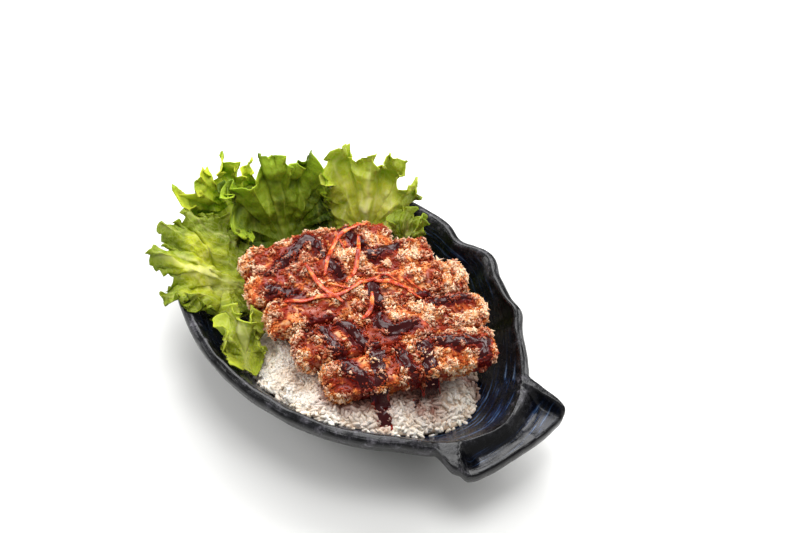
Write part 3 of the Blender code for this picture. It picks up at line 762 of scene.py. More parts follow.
def strip_points(length, width, thickness, crust_side, seed):
    """Points of a strip along X by the solid's formula, and how far each is on a cut face."""
    lean, turn = Matrix.Rotation(SLICE_LEAN, 3, "X"), Matrix.Rotation(SLICE_HEADING, 3, "Z")
    points, cut_face = [], []
    for i in range(STATIONS):
        share = i / (STATIONS - 1) - 0.5
        t = math.sin(math.pi * share) * 0.5 + share
        taper = max(0.0, 1.0 - abs(t) ** CORNER_POWER) ** 0.5
        wide, high = mix(END_WIDTH, 1.0, taper), mix(END_HEIGHT, 1.0, taper)
        for j in range(ROUND):
            a = 2.0 * math.pi * j / ROUND
            corner = abs(math.cos(a)) ** CORNER_POWER + abs(math.sin(a)) ** CORNER_POWER
            box = corner ** (-1.0 / CORNER_POWER)
            across, up = box * math.cos(a), box * math.sin(a)
            point = Vector((t * length / 2.0, across * wide * width / 2.0, up * high * thickness / 2.0))
            cut = 0.0 if across * crust_side > 0.0 else step((0.95 - abs(t)) / 0.15)
            cut *= min(1.0, max(0.0, abs(across) - 0.6) / 0.4)
            outward = Vector((0.0, across, up)).normalized()
            points.append(turn @ (lean @ (point + outward * crust_growth(point, cut, seed))))
            cut_face.append(step((cut - 0.45) / 0.4) * (1.0 - step((abs(up) - 0.55) / 0.3)))
    return np.array(points), cut_face


def build_strip(material, name, x, y, floor, length, width, thickness, crust_side, seed):
    """A strip of cutlet with its stored sauce, and how far each of its points is on a cut face."""
    points, cut_face = strip_points(length, width, thickness, crust_side, seed)
    points += np.array([x, y, floor - points[:, 2].min()])
    upper = smoothstep((points[:, 2] - floor) / thickness - 0.3)
    points[:, 2] += (SAUCE_RELIEF * poured(points[:, :2]) + 0.5 * MM * relief(points, 2.2 * MM, 39)) * upper
    rings = points.reshape(STATIONS, ROUND, 3)
    strip = loft(name, rings, [rings[0].mean(0), rings[-1].mean(0)], material)
    set_attribute(strip, "cut_face", cut_face)
    set_attribute(strip, "sauce", soaked(points) * (1.0 - 0.35 * np.array(cut_face)))
    return strip, np.append(cut_face, [0.0, 0.0])


print("growth of the crust at a strip's middle:", round(crust_growth(Vector(), 0.0, 1), 5), "m")

# %% [markdown]
# Fried crust is toasted flour, egg and crumb, matt and orange-brown between the crumbs. A cut through
# the meat is pale and moist, and sauce over either is dark and glossy. One function turns the stored
# sauce cover into the colour of the wetted surface: none, then a clear red-brown where it is thin,
# then nearly black.

# %% Sauce over another finish
SAUCE_DARK = "#380304"
SAUCE_MIDDLE = "#5e0a07"
SAUCE_THIN = "#921e08"
CRUST_GRIT = 8.333 * MM
MEAT_FIBRE = 6.25 * MM


def wetted(tree, shader, dry, cover):
    """Lays sauce over a dry colour, and makes the surface glossier where it lies."""
    thin = add_node(tree, "ShaderNodeMapRange", values={"From Max": 0.5, "To Max": 0.85},
                    links={"Value": cover})
    thinly = add_node(tree, "ShaderNodeMix", {"data_type": "RGBA"}, {"B": linear(SAUCE_THIN)},
                      {"Factor": (thin, "Result"), "A": dry})
    thick = add_node(tree, "ShaderNodeMapRange", values={"From Min": 0.55, "From Max": 0.95},
                     links={"Value": cover})
    thickly = add_node(tree, "ShaderNodeMix", {"data_type": "RGBA"}, {"B": linear(SAUCE_MIDDLE)},
                       {"Factor": (thick, "Result"), "A": (thinly, "Result")})
    gloss = add_node(tree, "ShaderNodeMapRange", values={"From Max": 0.6, "To Min": 0.6, "To Max": 0.30},
                     links={"Value": cover})
    connect(tree, shader, {"Base Color": (thickly, "Result"), "Roughness": (gloss, "Result")})


print("thin sauce:", SAUCE_THIN, "thick:", SAUCE_MIDDLE)


# %% Crust and meat finish
def make_crust():
    """Fried crust between the crumbs, and moist meat where it was cut."""
    material, tree, shader = new_finish("fried_breadcrumb_crust", {
        "IOR": 1.38, "Subsurface Weight": 0.2, "Subsurface Scale": 1.5 * MM,
        "Subsurface Radius": (1.0, 0.5, 0.2)})
    cut, sauce = [add_node(tree, "ShaderNodeAttribute", {"attribute_name": name})
                  for name in ("cut_face", "sauce")]
    at_place = {"Vector": (add_node(tree, "ShaderNodeNewGeometry"), "Position")}
    grit = add_node(tree, "ShaderNodeTexNoise", links=at_place,
                    values={"Scale": 1.0 / CRUST_GRIT, "Detail": 5.0, "Roughness": 0.6})
    crust = add_node(tree, "ShaderNodeValToRGB", links={"Fac": (grit, "Fac")},
                     stops=((0.34, "#8a2208"), (0.47, "#c8561e"), (0.56, "#e29250"), (0.68, "#f2cca6")))
    fibre = add_node(tree, "ShaderNodeTexNoise", links=at_place,
                     values={"Scale": 1.0 / MEAT_FIBRE, "Detail": 4.0})
    meat = add_node(tree, "ShaderNodeValToRGB", links={"Fac": (fibre, "Fac")},
                    stops=((0.32, "#b8683c"), (0.48, "#dfa67c"), (0.66, "#f2d2b4")))
    bare = add_node(tree, "ShaderNodeMix", {"data_type": "RGBA"},
                    links={"Factor": (cut, "Fac"), "A": (crust, "Color"), "B": (meat, "Color")})
    wetted(tree, shader, (bare, "Result"), (sauce, "Fac"))
    bump = add_node(tree, "ShaderNodeBump", values={"Strength": 0.6, "Distance": 0.8 * MM},
                    links={"Height": (grit, "Fac")})
    connect(tree, shader, {"Normal": (bump, "Normal")})
    return material


crust_finish = make_crust()
strips, strip_cuts = [], []
for seed, row in enumerate(SLICES):
    strip, cut_face = build_strip(crust_finish, row[0] + "_body", *row[1:], seed)
    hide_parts(row[0])
    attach(strip, "root")
    strips.append(strip)
    strip_cuts.append(cut_face)
print("strip faces:", sum(len(strip.data.polygons) for strip in strips))

# %% [markdown]
# ## Many small copies in one mesh
# Thousands of crumbs and grains as objects of their own would be slow, so a few shapes are made once
# and copied as plain points into one mesh, each turned and scaled its own way.


# %% Copies in one mesh
def join_copies(name, shapes, picks, matrices, material, smooth=False):
    """One mesh of many copies: picks says which (points, triangles) shape each matrix places."""
    all_points, all_faces, base = [], [], 0
    for pick, matrix in zip(picks, matrices):
        points, triangles = shapes[pick]
        all_points.append(points @ matrix[:3, :3].T + matrix[:3, 3])
        all_faces.append(triangles + base)
        base += len(points)
    points, faces = np.concatenate(all_points), np.concatenate(all_faces)
    mesh = bpy.data.meshes.new(name)
    mesh.vertices.add(len(points))
    mesh.vertices.foreach_set("co", points.astype(np.float32).ravel())
    mesh.loops.add(len(faces) * 3)
    mesh.loops.foreach_set("vertex_index", faces.astype(np.int32).ravel())
    mesh.polygons.add(len(faces))
    mesh.polygons.foreach_set("loop_start", np.arange(0, len(faces) * 3, 3, dtype=np.int32))
    mesh.update(calc_edges=True)
    mesh.validate()
    if smooth:
        mesh.shade_smooth()
    return add_object(name, mesh, material)


def per_copy(shapes, picks, values):
    """Spreads one value for each copy over the points of that copy."""
    return np.concatenate([np.full(len(shapes[pick][0]), value) for pick, value in zip(picks, values)])


print("a value for each of two copies:", per_copy([([0, 0], [])], [0, 0], [1.0, 2.0]))


# %% Placing and scattering
def placing(place, facing, spin, scale):
    """A 4 by 4 matrix: scaled, turned about its own Z, then Z along facing, at a place."""
    turn = Vector(facing).to_track_quat("Z", "Y").to_matrix() @ Matrix.Rotation(spin, 3, "Z")
    result = np.eye(4)
    result[:3, :3] = np.array(turn) * np.asarray(scale)
    result[:3, 3] = place
    return result


def random_vector(draw):
    """A vector with each part between -1 and 1."""
    return Vector((draw.uniform(-1, 1), draw.uniform(-1, 1), draw.uniform(-1, 1)))


def scatter_on(thing, weights, count, draw):
    """Random places on a mesh, thicker where the weights are higher: (place, facing)."""
    faces = [(p.center.copy(), p.normal.copy(), p.area, np.mean([weights[i] for i in p.vertices]))
             for p in thing.data.polygons]
    totals = np.cumsum([area * weight for _, _, area, weight in faces])
    spots = []
    for _ in range(count):
        pick = min(len(faces) - 1, int(np.searchsorted(totals, draw.random() * totals[-1])))
        centre, facing, area, _ = faces[pick]
        slide = random_vector(draw) * math.sqrt(area) * 0.5
        spots.append((centre + slide - facing * slide.dot(facing), facing))
    return spots


print("a copy straight up:", placing((0, 0, 0), (0, 0, 1), 0.0, (1, 1, 1)).round(2).tolist()[:3])

# %% [markdown]
# Breadcrumbs for this crust are torn flakes of dry bread that puffed up and stuck together in clumps,
# with bare glazed crust between. A few jagged flakes are made once. Each clump is a small dome of
# them, and single crumbs lie between the clumps. A crumb is paler the higher it stands: painted
# light on the tops of the clumps and painted shade low down between them.

# %% Breadcrumb shapes
CRUMB_KINDS = 24
CRUMB_PUSH = 0.35


def crumb_shapes(draw):
    """Jagged shards: octahedra whose six points are pushed about at random, then drawn out."""
    ends = np.array([(1, 0, 0), (-1, 0, 0), (0, 1, 0), (0, -1, 0), (0, 0, 1), (0, 0, -1)], float)
    upper = [(0, 2, 4), (2, 1, 4), (1, 3, 4), (3, 0, 4)]
    lower = [(2, 0, 5), (1, 2, 5), (3, 1, 5), (0, 3, 5)]
    faces = np.array(upper + lower)
    shapes = []
    for _ in range(CRUMB_KINDS):
        pushed = [[draw.uniform(-CRUMB_PUSH, CRUMB_PUSH) for _ in range(3)] for _ in range(6)]
        length = [draw.uniform(0.7, 1.4) for _ in range(6)]
        shapes.append((ends * np.array(length)[:, None] + np.array(pushed), faces))
    return shapes


crumb_kinds = crumb_shapes(random.Random(5))
print("kinds of crumb:", len(crumb_kinds))

# %% Breadcrumb finish
CRUMB_GRIT = 1.111 * MM


def make_crumb_finish():
    """Dry toasted crumb, porous and a little translucent, and soaked crumb where sauce reached it."""
    material, tree, shader = new_finish("panko_crumb_fried", {
        "IOR": 1.28, "Subsurface Weight": 0.25, "Subsurface Scale": 0.8 * MM,
        "Subsurface Radius": (1.0, 0.6, 0.3)})
    shade, sauce = [add_node(tree, "ShaderNodeAttribute", {"attribute_name": name})
                    for name in ("shade", "sauce")]
    place = add_node(tree, "ShaderNodeNewGeometry")
    grit = add_node(tree, "ShaderNodeTexNoise", values={"Scale": 1.0 / CRUMB_GRIT, "Detail": 3.0},
                    links={"Vector": (place, "Position")})
    # The stored shade holds each crumb's toast and its painted light by height
    toast = add_node(tree, "ShaderNodeMath", {"operation": "MULTIPLY_ADD"}, {1: 0.30},
                     {0: (grit, "Fac"), 2: (shade, "Fac")})
    dry = add_node(tree, "ShaderNodeValToRGB", links={"Fac": (toast, "Value")},
                   stops=((0.15, "#9a3410"), (0.34, "#cf6a2c"), (0.48, "#dd8a4e"), (0.62, "#ecac7a"),
                          (0.84, "#f4d0b0")))
    wetted(tree, shader, (dry, "Color"), (sauce, "Fac"))
    bump = add_node(tree, "ShaderNodeBump", values={"Strength": 0.5, "Distance": 0.3 * MM},
                    links={"Height": (grit, "Fac")})
    connect(tree, shader, {"Normal": (bump, "Normal")})
    return material


crumb_finish = make_crumb_finish()
print("finish:", crumb_finish.name)

# %% Where crumbs lie
CLUMPS_PER_STRIP = 230
CRUMBS_PER_CLUMP = 25
LOOSE_PER_STRIP = 1250
CRUMB_SIZE = 0.78 * MM
CLUMP_REACH_MM = (1.4, 4.0)
CLUMP_RISE_MM = (1.0, 3.2)
LOOSE_TOAST, CLUMP_TOAST = 0.16, 0.22
# How much paler a crumb is painted the higher it stands in its clump: painted light
PAINTED_LIGHT_RISE = 0.62


def crumb_weights(points, cut_face, sauce):
    """How thickly crumbs lie: most on dry crust, fewer on cut faces, underneath and in sauce."""
    low, high = points[:, 2].min(), points[:, 2].max()
    risen = smoothstep((points[:, 2] - low) / (high - low) * 2.0 - 0.2)
    weights = mix(1.0, mix(0.05, 0.6, risen ** 2), cut_face) * mix(0.2, 1.0, risen)
    bare = 1.0 - 0.5 * smoothstep((sauce - 0.05) / 0.5) - 0.25 * smoothstep((sauce - 0.64) / 0.3)
    return weights * bare


def crumb_spots(strip, cut_face, draw):
    """Each crumb's (place, facing, level in its clump, toast): loose ones first, then the clumps."""
    points = points_of(strip)
    sauce = soaked(points)
    weights = crumb_weights(points, cut_face, sauce)
    crowded = weights * smoothstep((relief(points, 7.0 * MM, 43) + 0.22) / 0.3) * mix(1.0, 0.5, sauce)
    loose = scatter_on(strip, weights, LOOSE_PER_STRIP, draw)
    spots = [(place, facing, 0.0, LOOSE_TOAST) for place, facing in loose]
    for centre, facing in scatter_on(strip, crowded, CLUMPS_PER_STRIP, draw):
        reach, rise = draw.uniform(*CLUMP_REACH_MM) * MM, draw.uniform(*CLUMP_RISE_MM) * MM
        side = facing.orthogonal().normalized()
        other = facing.cross(side)
        for _ in range(CRUMBS_PER_CLUMP):
            turn, out = draw.uniform(0.0, 2.0 * math.pi), math.sqrt(draw.random())
            level = (1.0 - out * out) * draw.uniform(0.2, 1.0)
            away = (side * math.cos(turn) + other * math.sin(turn)) * out
            place = centre + away * reach + facing * level * rise
            spots.append((place, facing + away * 0.7, level, CLUMP_TOAST))
    return spots


print("crumbs on each strip:", LOOSE_PER_STRIP + CLUMPS_PER_STRIP * CRUMBS_PER_CLUMP)

# %% Crumbs over the strips
CRUMB_SCALES = (0.55, 1.25)
CRUMB_TILT = 1.1
CRUMB_LENGTHS, CRUMB_WIDTH, CRUMB_HEIGHTS = (1.2, 2.4), 0.9, (0.6, 1.1)
CRUMB_LIFT = 0.2


def build_crumbs(name, strip, cut_face, material, seed):
    """All crumbs of one strip in one mesh, with the shade and the sauce of each stored."""
    draw = random.Random(100 + seed)
    picks, matrices, shades, places = [], [], [], []
    for place, facing, level, toast in crumb_spots(strip, cut_face, draw):
        size = CRUMB_SIZE * draw.uniform(*CRUMB_SCALES)
        tilt = random_vector(draw) * CRUMB_TILT
        stretch = [draw.uniform(*CRUMB_LENGTHS), CRUMB_WIDTH, draw.uniform(*CRUMB_HEIGHTS)]
        stretch = np.array(stretch) * size
        picks.append(draw.randrange(len(crumb_kinds)))
        middle = place + facing * size * CRUMB_LIFT
        matrices.append(placing(middle, facing + tilt, draw.uniform(0.0, 6.28), stretch))
        # Higher crumbs paler: painted light on top, painted shade below
        shades.append(toast + PAINTED_LIGHT_RISE * level + draw.gauss(0.04, 0.12))
        places.append(tuple(place))
    shades, places = np.array(shades), np.array(places)
    crumbs = join_copies(name, crumb_kinds, picks, matrices, material)
    uneven = shades + 0.2 * relief(places, 14.0 * MM, 41)
    set_attribute(crumbs, "shade", per_copy(crumb_kinds, picks, uneven))
    drenched = soaked(places) * mix(1.0, 0.15, np.clip(shades, 0.0, 1.0))
    set_attribute(crumbs, "sauce", per_copy(crumb_kinds, picks, drenched))
    return crumbs


all_crumbs = []
for seed, (row, strip, cut_face) in enumerate(zip(SLICES, strips, strip_cuts)):
    crumbs = build_crumbs(row[0] + "_crumbs", strip, cut_face, crumb_finish, seed)
    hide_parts(row[0])
    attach(crumbs, "root")
    all_crumbs.append(crumbs)
print("crumb triangles:", sum(len(c.data.polygons) for c in all_crumbs))

# %% [markdown]
# ## The rice
# Cooked short-grain rice sticks together in a loose heap. Real grains all the way down would be
# thousands that nobody sees, so a core repeats the solid's mound, kept a little lower, and grains at
# true size lie all over it, some flat and some standing. Places on it are found by rays shot down onto
# search trees of the meshes that are there already.

# %% Search trees
RAY_HEIGHT = 0.3
DOWN, UP = Vector((0.0, 0.0, -1.0)), Vector((0.0, 0.0, 1.0))


def tree_of(things):
    """One search tree of the faces of several objects that stand at the origin."""
    points, faces = [], []
    for thing in things:
        base = len(points)
        points += [tuple(v.co) for v in thing.data.vertices]
        faces += [[base + i for i in p.vertices] for p in thing.data.polygons]
    return BVHTree.FromPolygons(points, faces)


def top_at(tree, x, y):
    """The highest surface at a place in plan, and which way it faces."""
    hit, facing, _, _ = tree.ray_cast(Vector((x, y, RAY_HEIGHT)), DOWN)
    return hit, facing


strip_tree, dish_tree = tree_of(strips), tree_of([dish])
print("dish's floor is", round(top_at(dish_tree, 0.0, 0.0)[0].z, 4), "m up")

# %% The heap in plan
RICE_CENTRE = Vector((8.0 * MM, -14.0 * MM))
RICE_TO_TAIL = 85.0 * MM
RICE_TAIL_POWER = 2.8
RICE_TO_HEAD = 66.0 * MM
RICE_TO_NEAR = 61.0 * MM
RICE_TO_FAR = 56.0 * MM
RICE_CREST = 50.0 * MM
RICE_EDGE = 3.0 * MM
RICE_ROUNDING = 2.8
RICE_SINK = 0.8 * MM
RICE_EDGE_SINK = 1.6 * MM
LUMP_SIZE, LUMP_RISE = 11.0 * MM, 4.2 * MM
CLING_SIZE, CLING_RISE = 5.0 * MM, 1.4 * MM
RICE_RINGS, RICE_SEGMENTS = 34, 180
RICE_UNDER_SHARES = (0.985, 0.75, 0.5, 0.25)
UNDER_CUTLET = 0.9 * MM
OVER_DISH = 0.35 * MM


def rice_reach(angle):
    """From the middle of the heap to its edge, which is a little wavy."""
    c, s = math.cos(angle), math.sin(angle)
    along = RICE_TO_TAIL if c > 0 else RICE_TO_HEAD
    across = RICE_TO_FAR if s > 0 else RICE_TO_NEAR
    wave = 1.0 + 0.025 * math.sin(5.0 * angle + 0.6) + 0.02 * math.sin(11.0 * angle)
    power = RICE_TAIL_POWER if c > 0 and s > 0 else 2.0
    return wave * superellipse(c, s, along, across, power)


def rice_place(angle, share):
    """A place in plan, from the heap's middle (0) to its edge (1)."""
    reach = rice_reach(angle) * share
    return RICE_CENTRE.x + reach * math.cos(angle), RICE_CENTRE.y + reach * math.sin(angle)


print("heap from its middle to the tail:", round(rice_reach(0.0), 4), "m")


# %% Rice core
def build_rice_core(material):
    """The mound with lumps where grains cling together; below it follows the dish."""
    angles = np.linspace(-math.pi, math.pi, RICE_SEGMENTS + 1)[:-1]
    points = []
    for share in np.linspace(0.06, 1.0, RICE_RINGS):
        for angle in angles:
            x, y = rice_place(angle, share)
            edge = top_at(dish_tree, *rice_place(angle, 1.0))[0].z + RICE_EDGE
            sunk = RICE_SINK + RICE_EDGE_SINK * step((share - 0.88) / 0.12)
            points.append((x, y, mix(edge, RICE_CREST, max(0.0, 1.0 - share ** RICE_ROUNDING)) - sunk))
    points = np.array(points)
    points[:, 2] += LUMP_RISE * relief(points, LUMP_SIZE, 51) + CLING_RISE * relief(points, CLING_SIZE, 52)
    for point in points:
        hit = strip_tree.ray_cast(Vector((point[0], point[1], 0.0)), UP)[0]
        if hit is not None:
            point[2] = min(point[2], hit.z - UNDER_CUTLET)
    under = []
    for share in RICE_UNDER_SHARES:
        for angle in angles:
            x, y = rice_place(angle, share)
            under.append((x, y, top_at(dish_tree, x, y)[0].z + OVER_DISH))
    rings = np.vstack([points, under]).reshape(-1, len(angles), 3)
    middle = [RICE_CENTRE.x, RICE_CENTRE.y, points[0][2]]
    foot = [RICE_CENTRE.x, RICE_CENTRE.y, FLOOR + OVER_DISH]
    return loft("rice_core", rings, [middle, foot], material)


print("rings of the core:", RICE_RINGS, "above and", len(RICE_UNDER_SHARES), "below")

# %% [markdown]
# Cooked rice is starch swollen with water: milky, moist and a little translucent, so light sinks in
# before it comes back, and each grain carries a soft highlight. Sauce browns it beside the cutlet and
# along the runs.

# %% Rice finish
RICE_STAIN = "#86381e"
STAIN_REACH = 5.0 * MM
STAIN_BLOTCH = 6.0 * MM
MOST_STAIN = 0.85
RICE_GRAIN_BUMP = 1.429 * MM


def make_rice_finish(name, low, high, blotch):
    """Milky, moist rice between two shades, browner where the stored stain says sauce soaked in."""
    material, tree, shader = new_finish(name, {
        "Roughness": 0.38, "IOR": 1.38, "Subsurface Weight": 0.25, "Subsurface Scale": 1.2 * MM,
        "Subsurface Radius": (1.0, 0.8, 0.6)})
    at_place = {"Vector": (add_node(tree, "ShaderNodeNewGeometry"), "Position")}
    patch = add_node(tree, "ShaderNodeTexNoise", links=at_place,
                     values={"Scale": 1.0 / blotch, "Detail": 3.0})
    plain = add_node(tree, "ShaderNodeValToRGB", links={"Fac": (patch, "Fac")},
                     stops=((0.32, low), (0.62, high)))
    stain = add_node(tree, "ShaderNodeAttribute", {"attribute_name": "stain"})
    colour = add_node(tree, "ShaderNodeMix", {"data_type": "RGBA"}, {"B": linear(RICE_STAIN)},
                      {"Factor": (stain, "Fac"), "A": (plain, "Color")})
    fine = add_node(tree, "ShaderNodeTexNoise", links=at_place,
                    values={"Scale": 1.0 / RICE_GRAIN_BUMP, "Detail": 2.0})
    bump = add_node(tree, "ShaderNodeBump", values={"Strength": 0.15, "Distance": 0.3 * MM},
                    links={"Height": (fine, "Fac")})
    connect(tree, shader, {"Base Color": (colour, "Result"), "Normal": (bump, "Normal")})
    return material


def stained(places, gaps):
    """How much sauce reached the rice: most beside the cutlet and along the runs."""
    towards_tail = smoothstep((places[:, 0] - 15.0 * MM) / (50.0 * MM))
    beside = mix(0.6, 1.3, towards_tail) * np.exp(-gaps / STAIN_REACH)
    along = distance_to_routes(places[:, :2], RUNS_ON_RICE + SAUCE_LINES)
    near = beside + MOST_STAIN * np.exp(-along / STAIN_REACH)
    return np.clip(near + 0.25 * relief(places, STAIN_BLOTCH, 71), 0.0, MOST_STAIN)


# The core is darker than the grains: painted shade in the gaps between the grains
core_finish = make_rice_finish("cooked_rice_core", "#d2b89e", "#f2e2ce", 16.67 * MM)
grain_finish = make_rice_finish("cooked_rice_grain", "#f0dec8", "#fff8ec", 11.11 * MM)
rice_core = build_rice_core(core_finish)
core_places = points_of(rice_core)
core_gaps = np.array([strip_tree.find_nearest(Vector(p))[3] for p in core_places])
set_attribute(rice_core, "stain", stained(core_places, core_gaps))
print("rice core faces:", len(rice_core.data.polygons))

# %% [markdown]
# A grain of this rice is a plump, slightly bent capsule about 7 mm long. It is thrown at a random place
# on the heap, turned along the slope there and tipped by chance. It is left out where it would reach
# into the cutlet or the dish.

# %% Grain shapes
GRAIN_LENGTH = 6.9 * MM
GRAIN_WIDTH = 2.35 * MM
GRAIN_KINDS = 8
GRAIN_SCALES = (0.75, 1.05)
GRAIN_SINK_AND_RISE = (-0.45, 0.6)
GRAIN_TIP = 0.7
HEAP_SHARES = (0.30, 1.04)
GRAIN_COUNT = 6200
MOST_TRIES = 60000
CUTLET_GAP, DISH_GAP = 1.3 * MM, 1.0 * MM


def grain_shapes(draw):
    """Plump capsules, each bent its own way, with a blunt and a rounder end."""
    shapes = []
    for _ in range(GRAIN_KINDS):
        work = bmesh.new()
        bmesh.ops.create_uvsphere(work, u_segments=5, v_segments=4, radius=0.5)
        bend, plump = draw.uniform(-0.5, 0.5), draw.uniform(0.85, 1.15)
        points = []
        for v in work.verts:
            t = v.co.z * 2.0
            fat = plump * (1.0 + 0.12 * t)
            flat_end = 1.0 + 0.25 * (1.0 - t * t)
            aside = v.co.x * fat * flat_end + bend * (t * t - 0.4) * 0.5
            up = v.co.y * fat * flat_end * 0.9
            points.append((t * 0.5 * GRAIN_LENGTH, aside * GRAIN_WIDTH, up * GRAIN_WIDTH))
        bmesh.ops.triangulate(work, faces=work.faces)
        faces = np.array([[v.index for v in f.verts] for f in work.faces])
        work.free()
        shapes.append((np.array(points), faces))
    return shapes


print("grain:", GRAIN_LENGTH, "by", GRAIN_WIDTH, "m")


# %% Grains over the heap
def build_grains(material):
    """Grains all over the heap in one mesh, with the stain of each stored."""
    draw = random.Random(23)
    surface = tree_of([rice_core, dish])
    shapes = grain_shapes(draw)
    picks, matrices, places, gaps = [], [], [], []
    tries = 0
    while len(picks) < GRAIN_COUNT and tries < MOST_TRIES:
        tries += 1
        angle = math.radians(draw.uniform(-180.0, 180.0))
        share = math.sqrt(draw.uniform(*HEAP_SHARES))
        x, y = rice_place(angle, share)
        hit, facing = top_at(surface, x, y)
        if hit is None:
            continue
        raised = hit + Vector((0.0, 0.0, GRAIN_WIDTH * draw.uniform(*GRAIN_SINK_AND_RISE)))
        gap = strip_tree.find_nearest(raised)[3]
        if gap < CUTLET_GAP:
            continue
        tip = draw.uniform(-GRAIN_TIP, GRAIN_TIP)
        spin = draw.uniform(0.0, 6.28)
        turn = Matrix.Rotation(spin, 3, "Z") @ Matrix.Rotation(tip, 3, "Y")
        lean = Vector((0, 0, 1)).rotation_difference(facing).to_matrix()
        matrix = np.eye(4)
        matrix[:3, :3] = np.array(lean @ turn) * draw.uniform(*GRAIN_SCALES)
        matrix[:3, 3] = raised
        ends = [raised + lean @ turn @ Vector((side * GRAIN_LENGTH * 0.5, 0, 0)) for side in (-1, 1)]
        if any(dish_tree.find_nearest(end)[3] < DISH_GAP for end in ends):
            continue
        picks.append(draw.randrange(len(shapes)))
        matrices.append(matrix)
        places.append(tuple(raised))
        gaps.append(gap)
    grains = join_copies("rice_grains", shapes, picks, matrices, material, smooth=True)
    set_attribute(grains, "stain", per_copy(shapes, picks, stained(np.array(places), np.array(gaps))))
    return grains


rice_grains = build_grains(grain_finish)
for piece in (rice_core, rice_grains):
    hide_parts("rice")
    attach(piece, "root")
print("grain triangles:", len(rice_grains.data.polygons))

# %% [markdown]
# ## Leaf lettuce
# A lettuce leaf is a thin fan with a pale rib, veins that spread from its foot and a margin that grew
# faster than the rest, so it buckles into frills on several scales: broad folds, ruffles on the folds
# and crimps on the ruffles. A cloth simulation could buckle it too, but not to order. So the sheet
# follows the solid's formula and the frills are added to it. They radiate from the middle of the leaf
# and die out inwards, each over its own distance from the edge.

# %% Leaf sizes
Leaf = namedtuple("Leaf", "name foot heading length spread foot_radius foot_rise edge_rise roll cup skew "
                          "waves ruffle phase")

# Feet, lengths and ruffles are in millimetres, headings and other turns in degrees
LEAVES = (
    Leaf("lettuce_left", (-55.5, -28.5, 34), 220.5, 63, 35, 21, 47, 3, 6, 0.3, 0.18, 3.2, 4.2, 1.7),
    Leaf("lettuce_head", (-105, 2, 31), 176, 50, 20, 50, 70, 80, 0, 0.0, -0.2, 2.6, 4.0, 3.4),
    Leaf("lettuce_back", (-60, 8, 15), 156.5, 80, 17, 66, 50, 78, 0, 0.2, 0.07, 2.0, 3.4, 2.2),
    Leaf("lettuce_far", (-34, 42, 13), 123, 80, 18.5, 54, 48, 79, 0, 0.0, 0.0, 3.4, 4.6, 0.9),
    Leaf("lettuce_tip", (-8, 50, 38), 100, 34, 14, 26, 68, 50, 0, 0.2, 0.0, 2.0, 2.4, 0.2),
    Leaf("lettuce_near", (-10, -74, 38), 143, 40, 14, 30, 26, 50, 0, 0.3, 0.0, 2.0, 2.4, 1.1),
)
LEAF_LOBES = 0.08
LEAF_ROUNDING = 0.25
LEAF_STEPS = 6


def leaf_place(leaf, u, v):
    """The leaf's smooth middle surface, its directions there, and how far forward and across it is."""
    heading = math.radians(leaf.heading)
    ahead = Vector((math.cos(heading), math.sin(heading), 0.0))
    aside = Vector((-ahead.y, ahead.x, 0.0))
    lobe = LEAF_LOBES * math.sin(1.4 * math.pi * leaf.waves * u + leaf.phase)
    scallop = 1.0 - leaf.skew * u - LEAF_ROUNDING * u * u + lobe
    reach = (leaf.foot_radius + leaf.length * v * scallop) * MM
    fan = math.radians(leaf.spread * u)
    forward = reach * math.cos(fan) - leaf.foot_radius * MM
    across = reach * math.sin(fan)
    out = up = 0.0
    for i in range(LEAF_STEPS):
        rise = math.radians(mix(leaf.foot_rise, leaf.edge_rise, v * (i + 0.5) / LEAF_STEPS))
        out += forward * math.cos(rise) / LEAF_STEPS
        up += forward * math.sin(rise) / LEAF_STEPS
    rise = math.radians(mix(leaf.foot_rise, leaf.edge_rise, v))
    normal = -ahead * math.sin(rise) + Vector((0.0, 0.0, math.cos(rise)))
    wave = math.sin(math.pi * leaf.waves * u + leaf.phase)
    wave += 0.4 * math.sin(math.pi * leaf.waves * 1.8 * u + 2.0 * leaf.phase)
    lift = leaf.cup * abs(across) * u * u - across * math.tan(math.radians(leaf.roll))
    lift += leaf.ruffle * MM * wave * v ** 1.4
    point = Vector(leaf.foot) * MM + ahead * out + aside * across + Vector((0.0, 0.0, up))
    forward_way = ahead * math.cos(rise) + Vector((0.0, 0.0, math.sin(rise)))
    return point + normal * lift, normal, forward_way, aside, forward, across


print("tip of the left leaf:", leaf_place(LEAVES[0], 0.0, 1.0)[0])

# %% [markdown]
# The frills are sums of sines round the leaf's middle, each with its own pitch, made irregular by
# noise. A crest leans to one side as well as up, as a real frill folds over. Close to the middle they
# are calmed, because all their crests would meet there.

# %% Frills and ragged margin
# Frills: distance between crests, height, how far in from the edge they reach, share in the shade
FRILLS = (
    (31.0 * MM, 4.5 * MM, 20.0 * MM, 0.8),
    (11.0 * MM, 4.2 * MM, 7.5 * MM, 0.8),
    (5.2 * MM, 2.4 * MM, 4.6 * MM, 0.6),
    (3.4 * MM, 1.0 * MM, 4.5 * MM, 0.3),
)
# Crumples all over the blade: their size and height
CRUMPLES = ((17.0 * MM, 3.0 * MM), (8.0 * MM, 1.7 * MM), (3.8 * MM, 0.9 * MM))
FRILL_MIDDLE = 0.30
FRILL_ARC = 0.72
FRILL_CALM = 0.36
FRILL_WANDER = 4.5
FRILL_SIDEWAYS, FRILL_OUTWARD = 0.7, 0.25
CRUMPLE_RISE, CRUMPLE_SHADE = 1.6, 0.8
LEAF_GROWTH = 0.4 * MM
LEAF_CORNER = 0.13
LOBE_DEPTH, LOBE_PITCH = 4.6, 6.0 * MM
TOOTH_DEPTH, TOOTH_PITCH = 3.8, 2.4 * MM
MARGIN_FADE = 3.0 * MM
YOUNG_FADE = 15.0 * MM
RIB_WIDTH_MM = (2.6, 0.8)
VEINS_ACROSS, TWIGS_ALONG = 3.1, 7.0
VEIN_PALENESS, TWIG_PALENESS = 0.8, 0.5
